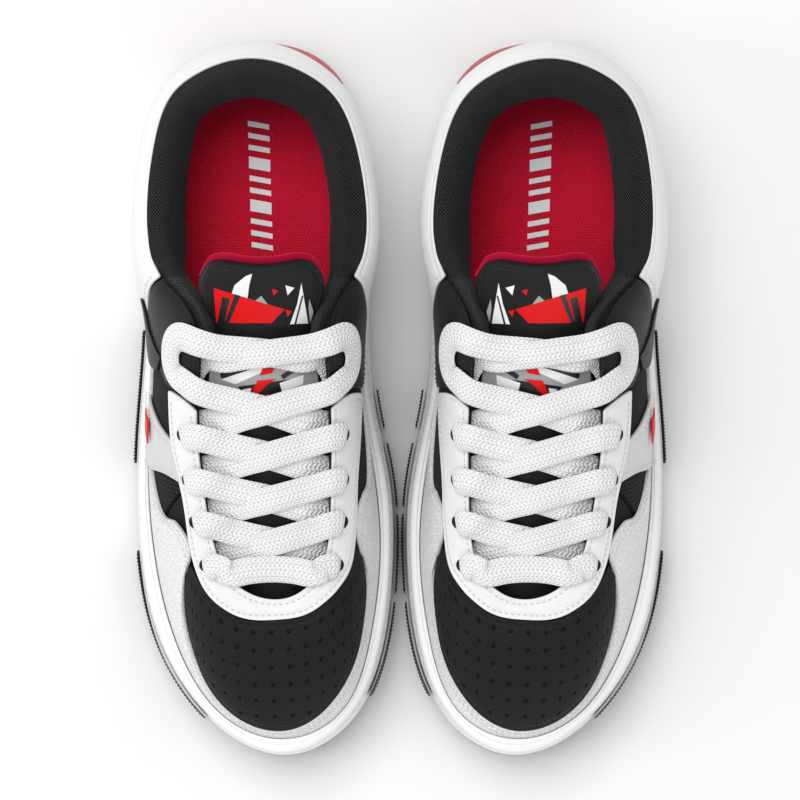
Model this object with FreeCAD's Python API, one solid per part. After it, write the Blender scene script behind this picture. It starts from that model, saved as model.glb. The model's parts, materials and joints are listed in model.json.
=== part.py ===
"""A pair of low-cut cup-sole trainers, laced, standing side by side on a floor.

Millimetres, +Z up, toes towards -Y. The origin is on the floor, midway between the shoes and
midway between heel and toe. The right shoe stands at -X and is modelled; the left one mirrors it.

Each shoe is worked out in its own terms first: x is across it (inner side positive), s is the
distance along it from the back of the heel, z is the height. The upper is a ring of leather
between the feather line, where it meets the sole, and the topline, which runs round the collar
and the throat. A place on it is (u, v): u goes round the shoe in stations from the heel (0)
along the outer side to the toe (10) and back along the inner side (20), and v climbs from the
feather line (0) to the topline (1). A place off its surface by t is t millimetres out of it.
"""
import FreeCAD
import Part
import math
import os

V = FreeCAD.Vector

# ---- driving dimensions -------------------------------------------------------------------
LENGTH = 302.0          # over the sole, heel to toe
BALL_WIDTH = 109.5      # over the sole at the ball of the foot
COLLAR_HEIGHT = 84.0    # floor to the collar at the back of the heel
SHOE_PITCH = 114.0      # between the middles of the two shoes

LEATHER = 1.4           # upper leather
LINING = 1.2            # textile lining
STIFFENER = 1.0         # heel counter and toe puff
FIT = 0.2               # clearance between layers that lie on each other
SEAM = 0.35             # clearance between neighbouring panels

OUTSOLE = 5.0           # rubber under the midsole
TREAD_DEPTH = 1.8       # depth of the tread grooves
BOARD = 1.8             # stitched-in insole board
INSOLE = 4.5            # removable footbed
INLAY = 1.5             # how far the rubber wraps stand out of the side wall
CLIP = 1.3              # heel clip
COLLAR_PAD = 13.0       # collar padding, inwards
TONGUE_PAD = 7.5        # tongue at its top
TONGUE_THIN = 3.4       # tongue at its foot
KNUCKLE_R = 8.2         # rounding where the tongue's flap folds
STRAP = 1.2             # side saddle strap
WALL_FIT = 0.5          # clearance of the parts let into the side wall

LACE_WIDTH = 10.5
LACE_THICK = 1.9
LACE_LENGTHS = 68       # lengths that its faces are cut into
EYELET_R = 3.2
AGLET_LENGTH = 20.0
AGLET_R = 1.6

# ---- the last: one row for each station round the shoe --------------------------------------
# feather line (x, s), low control (out, up), topline (x, s, z), high control (out, up)
LAST_LENGTH = 302.0
LAST_WIDTH = 109.5
LAST_COLLAR = 84.0
LAST = [
    (-3.5, 11.0, 8.5, 20.0, -4.0, 10.5, 84.0, 15.0, -18.0),
    (-25.0, 18.5, 6.0, 20.0, -28.0, 18.0, 80.5, 15.0, -17.0),
    (-36.0, 39.5, 5.0, 21.0, -41.0, 37.0, 75.0, 16.0, -15.0),
    (-40.0, 75.0, 7.0, 22.0, -45.5, 77.0, 70.5, 16.5, -13.0),
    (-41.0, 112.0, 6.0, 20.0, -37.5, 101.0, 80.0, 18.5, -14.0),
    (-45.0, 146.0, 5.0, 19.0, -24.5, 119.0, 93.5, 20.0, -11.0),
    (-47.0, 180.0, 4.0, 18.0, -25.0, 152.0, 81.5, 16.0, -7.0),
    (-45.5, 213.0, 3.0, 17.0, -23.0, 185.0, 70.5, 13.5, -5.0),
    (-37.5, 249.0, 3.0, 17.0, -18.0, 212.0, 61.5, 13.0, -2.5),
    (-18.5, 280.0, 5.0, 19.0, -8.0, 226.0, 57.5, 24.0, 0.0),
    (8.0, 290.5, 8.0, 21.0, 5.0, 230.0, 56.5, 33.0, 1.0),
    (31.5, 280.0, 5.0, 19.0, 17.0, 226.0, 57.5, 23.0, 0.0),
    (43.0, 250.0, 3.0, 17.0, 26.0, 211.0, 61.5, 12.0, -3.0),
    (47.0, 214.0, 2.5, 17.0, 28.0, 184.0, 70.5, 11.0, -5.0),
    (43.5, 180.0, 2.5, 18.0, 28.0, 151.0, 82.0, 13.0, -7.0),
    (37.5, 146.0, 3.0, 20.0, 27.0, 120.0, 94.5, 19.0, -11.0),
    (35.0, 110.0, 4.0, 20.0, 35.5, 101.0, 81.0, 15.5, -14.0),
    (34.5, 75.0, 4.5, 22.0, 42.0, 77.0, 71.5, 14.0, -13.0),
    (29.5, 39.5, 4.0, 21.0, 36.0, 38.0, 75.5, 13.5, -15.0),
    (18.0, 18.5, 6.0, 20.0, 21.0, 18.0, 80.5, 14.0, -17.0),
]
STATIONS = len(LAST)

# outline of the sole where it is widest (x, s), at the same stations
SOLE_OUTLINE = [
    (-3.5, -1.5), (-32.0, 7.0), (-47.5, 36.0), (-51.5, 75.0), (-51.0, 112.0),
    (-53.0, 146.0), (-55.0, 180.0), (-53.5, 216.0), (-45.5, 252.0), (-24.0, 285.0),
    (8.0, 300.5), (36.5, 285.5), (50.5, 254.0), (54.5, 216.0), (53.0, 182.0),
    (46.5, 148.0), (44.0, 112.0), (44.5, 75.0), (39.5, 36.0), (24.5, 7.0),
]
# side wall of the sole: height, how far it lies inside the outline
WALL_SECTIONS = [(-6.0, 5.5), (0.0, 3.2), (5.0, 1.0), (11.0, 0.0), (20.0, 0.9),
                 (30.0, 2.6), (40.0, 3.6), (52.0, 5.0)]

# side profiles, s and z
GROUND = [(-8.0, 4.5), (0.0, 2.4), (14.0, 0.0), (60.0, 0.0), (120.0, 0.0), (214.0, 0.0),
          (240.0, 1.2), (262.0, 4.0), (282.0, 8.0), (300.0, 12.5), (312.0, 16.0)]
CUP_FLOOR = [(-8.0, 24.5), (30.0, 24.0), (75.0, 23.0), (120.0, 20.0), (170.0, 16.6),
             (215.0, 15.4), (250.0, 17.0), (280.0, 20.5), (312.0, 25.5)]
CUP_RIM = [(-8.0, 37.5), (10.0, 36.0), (40.0, 33.5), (90.0, 30.5), (150.0, 28.6),
           (205.0, 27.6), (245.0, 28.8), (275.0, 31.8), (296.0, 36.5), (312.0, 39.5)]
TONGUE_RIDGE = [(84.0, 119.0), (96.0, 111.5), (108.0, 103.6), (119.0, 96.2), (152.0, 82.3),
                (185.0, 70.2), (212.0, 60.4), (230.0, 53.0), (248.0, 48.0)]
TONGUE_MIDDLE = [(84.0, 1.0), (119.0, 1.3), (152.0, 1.5), (185.0, 2.5), (212.0, 4.0),
                 (248.0, 5.5)]
TONGUE_HALF = [(84.0, 20.5), (92.0, 23.0), (103.0, 26.0), (112.0, 23.0), (119.0, 22.2),
               (130.0, 24.5), (145.0, 26.0), (200.0, 27.0), (248.0, 26.0)]
TONGUE_CROWN = 10.0     # how much lower it lies 30 mm from its ridge
TONGUE_TOP = 92.5       # s of its top edge at the middle
TONGUE_FOOT = 246.0     # s of its stitched end
FLAP_HINGE = 111.0      # s of the fold between tongue and flap, on the ridge

SAMPLES = 48            # points on a closed section
MIDDLE = 148.8          # the s that lies midway between heel clip and toe

ALONG = LENGTH / LAST_LENGTH
ACROSS = BALL_WIDTH / LAST_WIDTH
UPWARDS = COLLAR_HEIGHT / LAST_COLLAR


def row(s):
    """Where a distance along the shoe lies in the pair's frame."""
    return (MIDDLE - s) * ALONG


def place(x, s, z):
    """A point of the right shoe in the pair's frame."""
    return V(x * ACROSS - SHOE_PITCH / 2.0, row(s), z)


# ---- smooth curves --------------------------------------------------------------------------
def relaxed(values):
    """Controls of the closed uniform cubic B-spline through the values."""
    n = len(values)
    controls = list(values)
    for _ in range(30):
        controls = [
            controls[i] + values[i]
            - (controls[i - 1] + 4.0 * controls[i] + controls[(i + 1) % n]) / 6.0
            for i in range(n)
        ]
    return controls


def around(controls, u):
    """The closed spline's value at station u."""
    n = len(controls)
    i = math.floor(u)
    f = u - i
    a, b, c, d = (controls[(i + k) % n] for k in (-1, 0, 1, 2))
    return (
        a * (1 - f) ** 3
        + b * (3 * f ** 3 - 6 * f ** 2 + 4)
        + c * (-3 * f ** 3 + 3 * f ** 2 + 3 * f + 1)
        + d * f ** 3
    ) / 6.0


def profile(points, s):
    """Height of a side profile at s: a smooth curve through its points."""
    points = sorted(points)
    if s <= points[0][0]:
        return points[0][1]
    if s >= points[-1][0]:
        return points[-1][1]
    i = max(k for k in range(len(points) - 1) if points[k][0] <= s)

    def slope(k):
        a, b = points[max(k - 1, 0)], points[min(k + 1, len(points) - 1)]
        return (b[1] - a[1]) / (b[0] - a[0])

    (s0, z0), (s1, z1) = points[i], points[i + 1]
    h = s1 - s0
    f = (s - s0) / h
    return (
        z0 * (2 * f ** 3 - 3 * f ** 2 + 1)
        + h * slope(i) * (f ** 3 - 2 * f ** 2 + f)
        + z1 * (-2 * f ** 3 + 3 * f ** 2)
        + h * slope(i + 1) * (f ** 3 - f ** 2)
    )


def through(points, a):
    """A point at share a (0 to 1) of a smooth open curve through (u, v) points."""
    last = len(points) - 1
    i = min(int(a * last), last - 1)
    f = a * last - i
    p0, p1, p2, p3 = (points[min(max(k, 0), last)] for k in (i - 1, i, i + 1, i + 2))
    return tuple(
        0.5 * (2 * q1 + (q2 - q0) * f + (2 * q0 - 5 * q1 + 4 * q2 - q3) * f ** 2
               + (3 * q1 - q0 - 3 * q2 + q3) * f ** 3)
        for q0, q1, q2, q3 in zip(p0, p1, p2, p3)
    )


LAST_CONTROLS = [relaxed([row[k] for row in LAST]) for k in range(9)]
SOLE_CONTROLS = [relaxed([p[k] for p in SOLE_OUTLINE]) for k in range(2)]


def outward(controls, u):
    """The level direction out of a closed outline at u, as (x, s)."""
    step = 0.01
    dx = around(controls[0], u + step) - around(controls[0], u - step)
    ds = around(controls[1], u + step) - around(controls[1], u - step)
    long = math.hypot(dx, ds)
    return -ds / long, dx / long


def raised(z):
    """A height of the last, stretched with the collar above the cup floor."""
    base = 24.0
    return z if z < base else base + (z - base) * (COLLAR_HEIGHT - base) / (LAST_COLLAR - base)


def upper_at(u, v):
    """(x, s, z) on the upper at (u, v), on the inner face of its leather."""
    bx, bs, lo, lu, tx, ts, tz, ho, hu = (around(c, u) for c in LAST_CONTROLS)
    nx, ns = outward(LAST_CONTROLS, u)
    bz = profile(CUP_FLOOR, bs) + FIT
    ring = [
        (bx, bs, bz),
        (bx + nx * lo, bs + ns * lo, bz + lu),
        (tx + nx * ho, ts + ns * ho, tz + hu),
        (tx, ts, tz),
    ]
    w = ((1 - v) ** 3, 3 * v * (1 - v) ** 2, 3 * v * v * (1 - v), v ** 3)
    x, s, z = (sum(w[i] * ring[i][k] for i in range(4)) for k in range(3))
    return x, s, raised(z)


def upper_point(u, v, t=0.0):
    """The point of the upper at (u, v), t out of its surface."""
    here = place(*upper_at(u, v))
    if not t:
        return here
    return here + upper_normal(u, v) * t


def upper_normal(u, v):
    step = 0.004
    v0, v1 = max(v - step, 0.0), min(v + step, 1.0)
    du = place(*upper_at(u + step, v)) - place(*upper_at(u - step, v))
    dv = place(*upper_at(u, v1)) - place(*upper_at(u, v0))
    normal = du.cross(dv)
    normal.normalize()
    return normal


# ---- solids from curves ---------------------------------------------------------------------
def surface(rows):
    made = Part.BSplineSurface()
    made.interpolate(rows)
    return made


def closed_solid(faces):
    """One solid from faces that meet along their edges."""
    shell = Part.Shell(Part.makeCompound(faces).Faces)
    shell.sewShape()
    solid = Part.Solid(shell if shell.ShapeType == "Shell" else shell.Shells[0])
    if solid.Volume < 0:
        solid.reverse()
    if not solid.isValid():
        solid.fix(0.01, 0.01, 0.01)
    return solid


def slab(outer, inner):
    """A solid between two grids of points of the same size."""
    a, b = surface(outer), surface(inner)
    faces = [a.toShape(), b.toShape()]
    u0, u1, v0, v1 = a.bounds()
    p0, p1, q0, q1 = b.bounds()
    sides = [
        (a.uIso(u0), b.uIso(p0)), (a.uIso(u1), b.uIso(p1)),
        (a.vIso(v0), b.vIso(q0)), (a.vIso(v1), b.vIso(q1)),
    ]
    for one, other in sides:
        faces.append(Part.makeRuledSurface(one.toShape(), other.toShape(), 1))
    return closed_solid(faces)


def long_slab(outer, inner, lengths):
    """A slab whose long faces are cut into lengths that go on smoothly from each other."""
    a, b = surface(outer), surface(inner)
    u0, u1, v0, v1 = a.bounds()
    p0, p1, q0, q1 = b.bounds()
    faces = [Part.makeRuledSurface(a.uIso(u).toShape(), b.uIso(p).toShape(), 1)
             for u, p in ((u0, p0), (u1, p1))]
    for k in range(lengths):
        start, stop = k / lengths, (k + 1) / lengths
        upper, lower = a.copy(), b.copy()
        upper.segment(u0 + (u1 - u0) * start, u0 + (u1 - u0) * stop, v0, v1)
        lower.segment(p0 + (p1 - p0) * start, p0 + (p1 - p0) * stop, q0, q1)
        faces += [upper.toShape(), lower.toShape()]
        for v, q in ((v0, q0), (v1, q1)):
            faces.append(Part.makeRuledSurface(
                upper.vIso(v).toShape(), lower.vIso(q).toShape(), 1))
    return closed_solid(faces)


def panel(lower, higher, t0, t1, na=14, nb=6):
    """A panel of the upper between two (u, v) edges, from t0 to t1 off its surface."""
    def grid(t):
        rows = []
        for i in range(na + 1):
            a = i / na
            u0, v0 = through(lower, a)
            u1, v1 = through(higher, a)
            rows.append([
                upper_point(u0 + (u1 - u0) * j / nb, v0 + (v1 - v0) * j / nb, t)
                for j in range(nb + 1)
            ])
        return rows
    return slab(grid(t1), grid(t0))


def closed_wire(points):
    curve = Part.BSplineCurve()
    curve.interpolate(points, PeriodicFlag=True)
    return Part.Wire([curve.toShape()])


def loft(sections):
    return Part.makeLoft([closed_wire(p) for p in sections], True, False)


def side_slice(lower, higher):
    """Everything between two side profiles, right across the shoe."""
    start, stop, count = -7.0, 311.0, 36
    spots = [start + (stop - start) * i / count for i in range(count + 1)]
    across = 3.0 * BALL_WIDTH

    def edge(points):
        curve = Part.BSplineCurve()
        curve.interpolate([V(0, row(s), points(s)) for s in spots])
        return curve.toShape()

    low, high = edge(lower), edge(higher)
    ends = [
        Part.makeLine(low.valueAt(low.FirstParameter), high.valueAt(high.FirstParameter)),
        Part.makeLine(low.valueAt(low.LastParameter), high.valueAt(high.LastParameter)),
    ]
    wire = Part.Wire(Part.__sortEdges__([low, high] + ends))
    block = Part.Face(wire).extrude(V(across, 0, 0))
    block.translate(V(-SHOE_PITCH / 2.0 - across / 2.0, 0, 0))
    return block


def sole_section(z, inset):
    points = []
    for i in range(SAMPLES):
        u = STATIONS * i / SAMPLES
        nx, ns = outward(SOLE_CONTROLS, u)
        x, s = around(SOLE_CONTROLS[0], u), around(SOLE_CONTROLS[1], u)
        points.append(place(x - nx * inset, s - ns * inset, z))
    return points


def sole_block(extra=0.0):
    """The sole's side wall as one tall solid; extra moves the wall outwards."""
    return loft([sole_section(z, inset - extra) for z, inset in WALL_SECTIONS])


def upper_section(z, t):
    """Level section of the upper at height z, t off its surface."""
    points = []
    for i in range(SAMPLES):
        u = STATIONS * i / SAMPLES
        foot = upper_point(u, 0.0, t)
        if foot.z >= z:
            points.append(V(foot.x, foot.y, z))
            continue
        low, high = 0.0, 0.6
        for _ in range(22):
            middle = (low + high) / 2.0
            if upper_point(u, middle, t).z < z:
                low = middle
            else:
                high = middle
        spot = upper_point(u, low, t)
        points.append(V(spot.x, spot.y, z))
    return points


def upper_block(t, heights=(10.0, 17.0, 24.0, 31.0, 42.0)):
    """The lower part of the upper as one solid, t off its surface."""
    return loft([upper_section(z, t) for z in heights])


# ---- bottom unit ----------------------------------------------------------------------------
def ground(s):
    return profile(GROUND, s)


def outsole_top(s):
    return ground(s) + OUTSOLE


def cup_floor(s):
    return profile(CUP_FLOOR, s)


def rim(s):
    return profile(CUP_RIM, s)


def make_outsole(block):
    """Rubber tread with cross grooves and a long flex groove round the ball."""
    sole = block.common(side_slice(lambda s: ground(s) - 0.5, outsole_top))
    below = Part.makeBox(6.0 * BALL_WIDTH, 2.0 * LENGTH, 20.0)
    below.translate(V(-3.0 * BALL_WIDTH, -LENGTH, -20.0))
    sole = sole.cut(below)
    groove = 2.6
    pitch = 15.0
    cuts = []
    s = 24.0
    while s < 285.0:
        z = ground(s)
        box = Part.makeBox(3.0 * BALL_WIDTH, groove, 2.0 * TREAD_DEPTH)
        box.translate(V(-SHOE_PITCH / 2.0 - 1.5 * BALL_WIDTH,
                        row(s), z - TREAD_DEPTH))
        cuts.append(box)
        s += pitch
    return sole.cut(Part.makeCompound(cuts))


def make_midsole(block, cup):
    """White cup: side wall, floor and rim in one moulding."""
    body = block.common(side_slice(lambda s: outsole_top(s) + FIT, rim))
    return body.cut(cup)


def wall_point(u, z, out):
    """A point on the sole's side wall at station u and height z."""
    heights = [p[0] for p in WALL_SECTIONS]
    i = max(k for k in range(len(heights) - 1) if heights[k] <= z)
    (z0, in0), (z1, in1) = WALL_SECTIONS[i], WALL_SECTIONS[i + 1]
    inset = in0 + (in1 - in0) * (z - z0) / (z1 - z0) - out
    nx, ns = outward(SOLE_CONTROLS, u)
    x, s = around(SOLE_CONTROLS[0], u), around(SOLE_CONTROLS[1], u)
    return place(x - nx * inset, s - ns * inset, z)


def wall_station(u):
    return around(SOLE_CONTROLS[1], u)


def wall_patch(u0, u1, low, high, t0, t1, na=8, nb=3):
    """A patch on the side wall, from low to high above the ground profile."""
    def grid(out):
        rows = []
        for i in range(na + 1):
            u = u0 + (u1 - u0) * i / na
            base = ground(wall_station(u))
            top = rim(wall_station(u))
            z0 = base + low
            z1 = min(base + high, top - 2.0)
            rows.append([wall_point(u, z0 + (z1 - z0) * j / nb, out) for j in range(nb + 1)])
        return rows
    return slab(grid(t1), grid(t0))


# the rubber wraps, as station ranges round the sole
WRAPS = [(4.2, 5.88), (6.92, 8.95), (11.4, 12.5), (12.6, 13.53), (13.62, 14.44), (14.62, 15.1)]
WRAP_LOW = 6.5
WRAP_HIGH = 17.0


def make_wraps():
    return Part.makeCompound([
        wall_patch(a, b, WRAP_LOW, WRAP_HIGH, WALL_FIT, WALL_FIT + INLAY) for a, b in WRAPS
    ])


def make_heel_clip():
    """Moulded clip round the back of the heel, above the side wall's widest line."""
    return wall_patch(-1.35, 1.35, 12.0, 29.0, WALL_FIT, WALL_FIT + CLIP, 10, 5)


# ---- upper ----------------------------------------------------------------------------------
INNER = -(LINING + STIFFENER + 2 * FIT)     # inner face of the lining
LINING_OUT = -(STIFFENER + 2 * FIT)         # its outer face under a stiffener
TOPLINE = 0.985                             # v where the outer panels end
EYELET_V = 0.85                             # v of the lower eyelets
EYELET_ROWS = [217.0, 199.0, 181.5, 163.0]  # their s, from the toe up
TURN_ROWS = [140.0, 122.4]                  # s of the two rows the lace turns round outside


def edge(*points):
    return list(points)


def level(v, *stations):
    """An edge that stays at one v."""
    return [(u, v) for u in stations]


def build_linings():
    made = {}
    made["vamp_lining"] = panel(
        level(0.005, 6.9, 8.4, 10.0, 11.6, 13.1), level(0.97, 6.9, 8.4, 10.0, 11.6, 13.1),
        INNER, LINING_OUT, 20, 8)
    made["side_mesh_outer"] = panel(
        level(0.005, 4.0, 5.4, 6.87), edge((4.0, 0.95), (5.4, 0.972), (6.87, 0.97)),
        INNER, -FIT, 10, 8)
    made["side_mesh_inner"] = panel(
        level(0.005, 13.13, 14.6, 16.0), edge((13.13, 0.97), (14.6, 0.972), (16.0, 0.95)),
        INNER, -FIT, 10, 8)
    made["heel_lining"] = panel(
        level(0.005, -3.97, -2.0, 0.0, 2.0, 3.97), level(0.56, -3.97, -2.0, 0.0, 2.0, 3.97),
        INNER, LINING_OUT, 22, 5)
    made["heel_counter"] = panel(
        level(0.02, -3.3, -1.6, 0.0, 1.6, 3.3),
        edge((-3.2, 0.4), (-1.6, 0.52), (0.0, 0.56), (1.6, 0.52), (3.2, 0.4)),
        -STIFFENER - FIT, -FIT, 18, 5)
    made["toe_puff"] = panel(
        level(0.02, 8.0, 9.0, 10.0, 11.0, 12.0),
        edge((8.3, 0.3), (9.1, 0.44), (10.0, 0.5), (10.9, 0.44), (11.7, 0.3)),
        -STIFFENER - FIT, -FIT, 14, 5)
    return made


def build_overlays():
    """The outer panels, side by side with a seam's clearance between them."""
    made = {}
    made["heel_quarter"] = panel(
        level(0.02, -4.9, -2.5, 0.0, 2.5, 4.9), level(TOPLINE, -3.85, -2.0, 0.0, 2.0, 3.85),
        0.0, LEATHER, 26, 8)
    made["mudguard"] = panel(
        edge((4.96, 0.02), (6.0, 0.02), (7.0, 0.02), (7.7, 0.02), (8.3, 0.02), (9.1, 0.02),
             (10.0, 0.02), (10.9, 0.02), (11.7, 0.02), (12.4, 0.02), (13.1, 0.02),
             (14.0, 0.02), (15.04, 0.02)),
        edge((4.72, 0.27), (5.8, 0.3), (6.9, 0.5), (7.62, 0.6), (8.2, 0.45), (9.1, 0.32),
             (10.0, 0.3), (10.9, 0.38), (11.7, 0.39), (12.5, 0.43), (12.78, 0.6),
             (13.6, 0.44), (15.2, 0.31)),
        0.0, LEATHER, 48, 4)
    made["toe_box"] = panel(
        edge((7.78, 0.6), (8.15, 0.5), (8.55, 0.43), (9.1, 0.345), (10.0, 0.325),
             (10.9, 0.405), (11.6, 0.415), (12.2, 0.43), (12.55, 0.53)),
        edge((7.88, 0.68), (8.15, 0.72), (8.5, 0.755), (9.05, 0.815), (10.0, 0.875),
             (10.9, 0.835), (11.5, 0.765), (12.0, 0.685), (12.5, 0.62)),
        0.0, LEATHER, 24, 7)
    made["eyestay"] = panel(
        edge((5.64, 0.71), (6.3, 0.72), (7.0, 0.765), (7.7, 0.735), (8.3, 0.76), (9.05, 0.84),
             (10.0, 0.9), (10.9, 0.86), (11.55, 0.785), (12.2, 0.685), (12.8, 0.665),
             (13.4, 0.655), (14.5, 0.53)),
        level(TOPLINE, 6.03, 6.5, 7.1, 7.8, 8.5, 9.2, 10.0, 10.8, 11.5, 12.2, 12.9, 13.5, 13.97),
        0.0, LEATHER, 40, 5)
    made["collar_panel_outer"] = panel(
        edge((4.4, 0.57), (4.75, 0.55), (5.2, 0.6), (5.57, 0.7)),
        level(TOPLINE, 3.93, 4.6, 5.3, 5.96),
        0.0, LEATHER, 10, 6)
    made["collar_panel_inner"] = panel(
        edge((14.6, 0.52), (14.9, 0.44), (15.3, 0.43), (15.52, 0.5)),
        level(TOPLINE, 14.04, 14.7, 15.4, 16.07),
        0.0, LEATHER, 10, 6)
    return made


def build_outer_trim():
    """What lies on top of the outer panels, on the outer side of the shoe."""
    over = LEATHER + FIT
    made = {}
    made["saddle_strap"] = panel(
        edge((5.0, 0.19), (5.5, 0.42), (5.9, 0.58), (6.22, 0.72)),
        edge((5.95, 0.2), (6.25, 0.42), (6.5, 0.6), (6.8, 0.775)),
        over, over + STRAP, 10, 4)
    made["strap_badge"] = panel(
        edge((5.36, 0.3), (5.52, 0.36), (5.68, 0.42)), edge((5.56, 0.27), (5.72, 0.33), (5.9, 0.39)),
        over + STRAP + FIT, over + STRAP + FIT + 0.7, 4, 3)
    made["side_fin"] = panel(
        edge((4.05, 0.56), (4.5, 0.43), (5.0, 0.47), (5.3, 0.61)),
        edge((4.12, 0.6), (4.55, 0.55), (4.95, 0.6), (5.2, 0.67)),
        over, over + STRAP, 8, 3)
    return made


# ---- collar ---------------------------------------------------------------------------------
def eased(x, lo, hi):
    f = min(max((x - lo) / (hi - lo), 0.0), 1.0)
    return f * f * (3 - 2 * f)


def topline_frame(u):
    """The topline's point at u and the level direction out of it, in the pair's frame."""
    here = upper_point(u, 1.0)
    run = upper_point(u + 0.05, 1.0) - upper_point(u - 0.05, 1.0)
    out = V(run.y, -run.x, 0)
    out.normalize()
    return here, out


def make_collar_padding():
    """The padded roll round the ankle opening, between the quarter and the foot."""
    reach = 4.88
    count = 28
    outer, inner = [], []
    for i in range(count + 1):
        u = -reach + 2 * reach * i / count
        slim = 1.0 - 0.62 * eased(abs(u), 3.1, 4.7)
        base = -FIT - 0.1 + (INNER - FIT) * eased(abs(u), 3.5, 3.92)
        foot = 0.6 + 0.22 * eased(abs(u), 3.2, 4.7)
        outer.append([upper_point(u, foot + (0.98 - foot) * j / 5, base) for j in range(6)])
        top, out = topline_frame(u)
        pad = COLLAR_PAD * slim
        low = upper_point(u, foot, base - 2.0 * slim)
        lip = upper_point(u, 0.98, base)
        up = V(0, 0, 1)
        inner.append([
            low,
            low - out * (pad * 0.5) + up * (3.0 * slim),
            top - out * (pad * 1.02) - up * (9.0 * slim),
            top - out * (pad * 1.0) - up * (2.0 * slim),
            top - out * (pad * 0.78) + up * (2.6 * slim),
            top - out * (pad * 0.42) + up * (4.2 * slim),
            lip + up * 1.0 - out * 0.4,
        ])
    return slab(outer, inner)


# ---- tongue ---------------------------------------------------------------------------------
def tongue_normal(s):
    """Direction out of the tongue's face at s, as (s, z)."""
    step = 0.5
    slope = (profile(TONGUE_RIDGE, s + step) - profile(TONGUE_RIDGE, s - step)) / (2 * step)
    long = math.hypot(slope, 1.0)
    return -slope / long, 1.0 / long


def tongue_z(x, s):
    off = (x - profile(TONGUE_MIDDLE, s)) / 30.0
    return profile(TONGUE_RIDGE, s) - TONGUE_CROWN * off * off


def tongue_spot(x, s, lift=0.0):
    """A point lift above the tongue's face."""
    ns, nz = tongue_normal(s)
    return place(x, s + ns * lift, raised(tongue_z(x, s)) + nz * lift)


def tongue_thickness(s):
    return TONGUE_THIN + (TONGUE_PAD - TONGUE_THIN) * (1.0 - eased(s, 98.0, 150.0))


def tongue_slab(s0, s1, low, high, share=1.0, na=10, nb=14, wave=0.0, pillow=0.0):
    """A slab of the tongue between s0 and s1, from low to high above its face."""
    def grid(lift, outer):
        rows = []
        for i in range(na + 1):
            a = -1.0 + 2.0 * i / na
            line = []
            for j in range(nb + 1):
                b = j / nb
                start = s0 + wave * (1.0 - 1.5 * a * a + 1.4 * a ** 6) * (1.0 - b)
                s = start + (s1 - start) * b
                x = profile(TONGUE_MIDDLE, s) + share * a * profile(TONGUE_HALF, s)
                depth = lift(s)
                if pillow and not outer:
                    depth *= 1.0 - pillow * a ** 6
                line.append(tongue_spot(x, s, depth))
            rows.append(line)
        return rows
    return slab(grid(high, True), grid(low, False))


def hinge_point():
    """The fold's axis, as (s, z) before the collar's stretch."""
    ns, nz = tongue_normal(FLAP_HINGE)
    return FLAP_HINGE - ns * 6.5, profile(TONGUE_RIDGE, FLAP_HINGE) - nz * 6.5


def build_tongue():
    whole = tongue_slab(
        TONGUE_TOP, TONGUE_FOOT, lambda s: -tongue_thickness(s), lambda s: 0.0,
        wave=3.2, nb=26, pillow=0.55)
    s, z = hinge_point()
    ns, nz = tongue_normal(FLAP_HINGE)
    centre = place(0.0, s, raised(z))
    # a block on the flap's side of the fold, its face square to the tongue
    block = Part.makeBox(160.0, 90.0, 160.0, V(-80.0, 0.0, -80.0))
    tilt = math.degrees(math.atan2(ns, nz))
    block.rotate(V(0, 0, 0), V(1, 0, 0), tilt)
    block.translate(centre)

    def round_bar(radius):
        return Part.makeCylinder(radius, 160.0, centre - V(80.0, 0, 0), V(1, 0, 0))

    made = {
        "tongue": whole.cut(block.cut(round_bar(KNUCKLE_R))),
        "tongue_flap": whole.common(block).cut(round_bar(KNUCKLE_R + 0.4)),
    }
    back = tongue_slab(
        TONGUE_TOP - 1.8, 103.0, lambda s: -tongue_thickness(s) - FIT - 1.0,
        lambda s: -tongue_thickness(s) - FIT, share=0.97, nb=8, wave=3.2)
    made["tongue_lining"] = back.cut(round_bar(KNUCKLE_R + 0.6))
    made["tongue_label"] = tongue_slab(
        126.5, 151.0, lambda s: FIT, lambda s: FIT + 0.8, share=0.86, nb=6)
    return made


# ---- lace -----------------------------------------------------------------------------------
def station_at(s, v, side):
    """The station on one side (-1 outer, 1 inner) where the upper at v has this s."""
    lo, hi = (4.3, 9.6) if side < 0 else (10.4, 15.7)
    for _ in range(30):
        mid = (lo + hi) / 2.0
        here = upper_at(mid, v)[1]
        if (here < s) == (side < 0):
            lo = mid
        else:
            hi = mid
    return (lo + hi) / 2.0


def knot(point, normal, width=LACE_WIDTH, thick=LACE_THICK):
    return point, normal, width, thick


def on_upper(s, v, t, side, sign, width=LACE_WIDTH, thick=LACE_THICK):
    u = station_at(s, v, side)
    return knot(upper_point(u, v, t), upper_normal(u, v) * sign, width, thick)


OVER = LEATHER + FIT + 0.3 + LACE_THICK / 2.0      # a lace lying on the leather
UNDER = INNER - 0.6 - LACE_THICK / 2.0             # and one lying under the lining


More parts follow.
